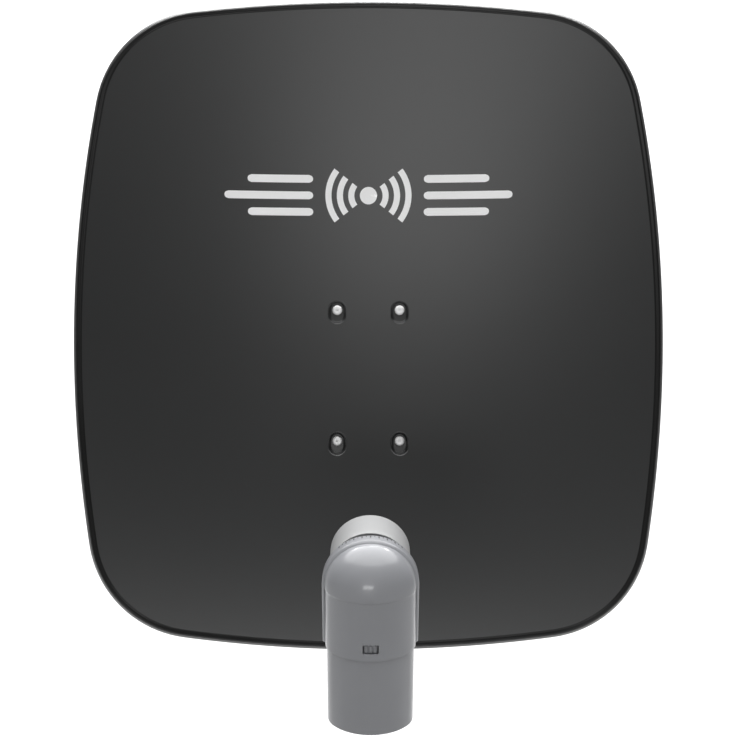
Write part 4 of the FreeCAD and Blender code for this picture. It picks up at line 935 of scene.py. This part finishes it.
def make_materials():
    """Every finish by its slot name, with three more that only pieces use: a darker dish coating that paints
    shade on the rim, a lighter zinc that paints a highlight on the face screw heads, and the white mark
    paint.
    """
    finishes = {
        "dish_coating": dict(base=(0.019, 0.0196, 0.0198), roughness=0.36, scale=1500, bump=0.05,
                             spread=0.05, patch=7, coat=0.6, gloss=0.30),
        # A darker copy of the dish coating: painted shade for the rolled rim, which is the same paint as the
        # dish.
        "rim_painted_shade": dict(base=(0.009, 0.009, 0.009), roughness=0.30, scale=1400, bump=0.08, spread=0.15,
                            shine=0.3),
        "bracket_steel": dict(base=(0.050, 0.051, 0.053), roughness=0.42, scale=900, bump=0.2, edge=0.5,
                              dust=0.10),
        "cast_clamp": dict(base=(0.46, 0.47, 0.48), roughness=0.5, metallic=0.9, scale=420, bump=0.6,
                           edge=0.4, dust=0.12),
        "zinc_steel": dict(base=(0.80, 0.79, 0.77), roughness=0.36, metallic=0.9, scale=700, bump=0.05,
                           spread=0.08, patch=90),
        # A lighter, less metallic copy of zinc_steel: painted highlight for the face screw heads.
        "zinc_painted_highlight": dict(base=(0.92, 0.92, 0.92), roughness=0.42, metallic=0.25, scale=700, bump=0.03,
                            spread=0.04, patch=90),
        "scale_plate": dict(base=(0.74, 0.74, 0.73), roughness=0.42, metallic=0.2, scale=900, bump=0.05,
                            dust=0.08),
        "arm_aluminium": dict(base=(0.62, 0.63, 0.64), roughness=0.34, metallic=1.0, scale=420, bump=0.18,
                              stretch=(1, 0.05, 0.3), patch=30),
        "cast_aluminium": dict(base=(0.55, 0.56, 0.57), roughness=0.5, metallic=0.9, scale=520, bump=0.5),
        "black_plastic": dict(base=(0.020, 0.020, 0.021), roughness=0.48, scale=1200, bump=0.25),
        "cap_plastic": dict(base=(0.435, 0.439, 0.441), roughness=0.36, scale=1500, bump=0.06, spread=0.03),
        "housing_plastic": dict(base=(0.340, 0.346, 0.366), roughness=0.34, scale=1600, bump=0.05,
                                spread=0.03, coat=0.6, gloss=0.12),
        "seal_rubber": dict(base=(0.015, 0.015, 0.015), roughness=0.7, scale=800, bump=0.2),
        "board": dict(base=(0.02, 0.14, 0.06), roughness=0.4, scale=300, bump=0.1, spread=0.3, patch=200),
        "probe_brass": dict(base=(0.72, 0.50, 0.20), roughness=0.25, metallic=1.0, scale=900, bump=0.05),
        "socket_nickel": dict(base=(0.70, 0.69, 0.66), roughness=0.22, metallic=1.0, scale=700, bump=0.05),
        "white_insulator": dict(base=(0.80, 0.80, 0.77), roughness=0.5, scale=900, bump=0.05, spread=0.04),
        "mark_paint": dict(base=(0.96, 0.96, 0.96), roughness=0.45, scale=1500, bump=0.04, spread=0.02),
    }
    return {name: painted(name, **finish) for name, finish in finishes.items()}


def dress_nodes():
    """The record's finish on every CAD node that stays."""
    for item in frame["record"]["subparts"]:
        node = nodes[item["node"]]
        node.data.materials.clear()
        node.data.materials.append(materials[item["material_slot"]])


# ---------------------------------------------------------------- stage, light and camera

def stage_floor():
    """A pale studio sweep: a floor that curves up into a wall far behind."""
    level, back, radius, wide, front, tall = -0.62, 3.2, 1.2, 9.0, -9.0, 7
    bend = np.radians(np.linspace(0, 90, 13))
    curve = [(back - radius + radius * math.sin(a), level + radius - radius * math.cos(a)) for a in bend]
    profile = [(front, level)] + curve + [(back, level + tall)]
    points = [(x, y, z) for y, z in profile for x in (-wide, wide)]
    faces = [(2 * i, 2 * i + 1, 2 * i + 3, 2 * i + 2) for i in range(len(profile) - 1)]
    mesh = bpy.data.meshes.new("studio_sweep")
    mesh.from_pydata(points, [], faces)
    mesh.shade_smooth()
    obj = bpy.data.objects.new("studio_sweep", mesh)
    bpy.context.scene.collection.objects.link(obj)
    pale = painted("sweep_white", (0.38, 0.38, 0.38), 0.9, scale=40, bump=0.0, spread=0.01, patch=1)
    mesh.materials.append(pale)


def area_light(name, spot, target, size, power, shape="RECTANGLE"):
    """A panel or disc lamp at a spot, facing a target, with its power in watts."""
    data = bpy.data.lights.new(name, "AREA")
    data.shape = shape
    data.size, data.size_y = size
    data.energy = power
    obj = bpy.data.objects.new(name, data)
    bpy.context.scene.collection.objects.link(obj)
    obj.location = spot
    obj.rotation_euler = (Vector(target) - Vector(spot)).to_track_quat("-Z", "Y").to_euler()


def make_lights():
    """A large disc overhead, a low panel that the dish mirrors, and a lamp for the backdrop."""
    ambient = 0.03
    world = bpy.data.worlds.new("studio")
    world.use_nodes = True
    background = world.node_tree.nodes["Background"]
    background.inputs["Color"].default_value = (1, 1, 1, 1)
    background.inputs["Strength"].default_value = ambient
    bpy.context.scene.world = world
    area_light("overhead", (0.05, -0.57, 1.12), (0.05, -0.56, 0), (2.94, 2.94), 61, "DISK")
    area_light("low_front", (-0.21, -3.0, -0.43), (0, -0.2, 0.15), (0.95, 0.34), 6.5)
    area_light("backdrop", (0, 1.2, 2.1), (0, 3.1, 0.1), (2.4, 0.8), 330)


def make_camera():
    """Level camera in front of the dish, a little to the left of its middle and turned back to it."""
    spot, pan, focal_length = (-0.0056, -1.715, 0.008), -0.19, 71.92
    data = bpy.data.cameras.new("camera")
    data.sensor_width = 36
    data.lens = focal_length
    data.clip_end = 60
    obj = bpy.data.objects.new("camera", data)
    bpy.context.scene.collection.objects.link(obj)
    obj.location = spot
    obj.rotation_euler = (math.radians(90), 0, math.radians(pan))
    bpy.context.scene.camera = obj


materials = make_materials()
dress_nodes()
make_reflector()
make_face_mark()
make_fasteners()
make_front_shell()
make_sliding_cover()
make_horn_cap()
make_band_bead()
make_latch()
make_skew_marks()
make_sockets()
make_scale_marks()
stage_floor()
make_lights()
make_camera()
bpy.context.scene.view_settings.view_transform = "Standard"
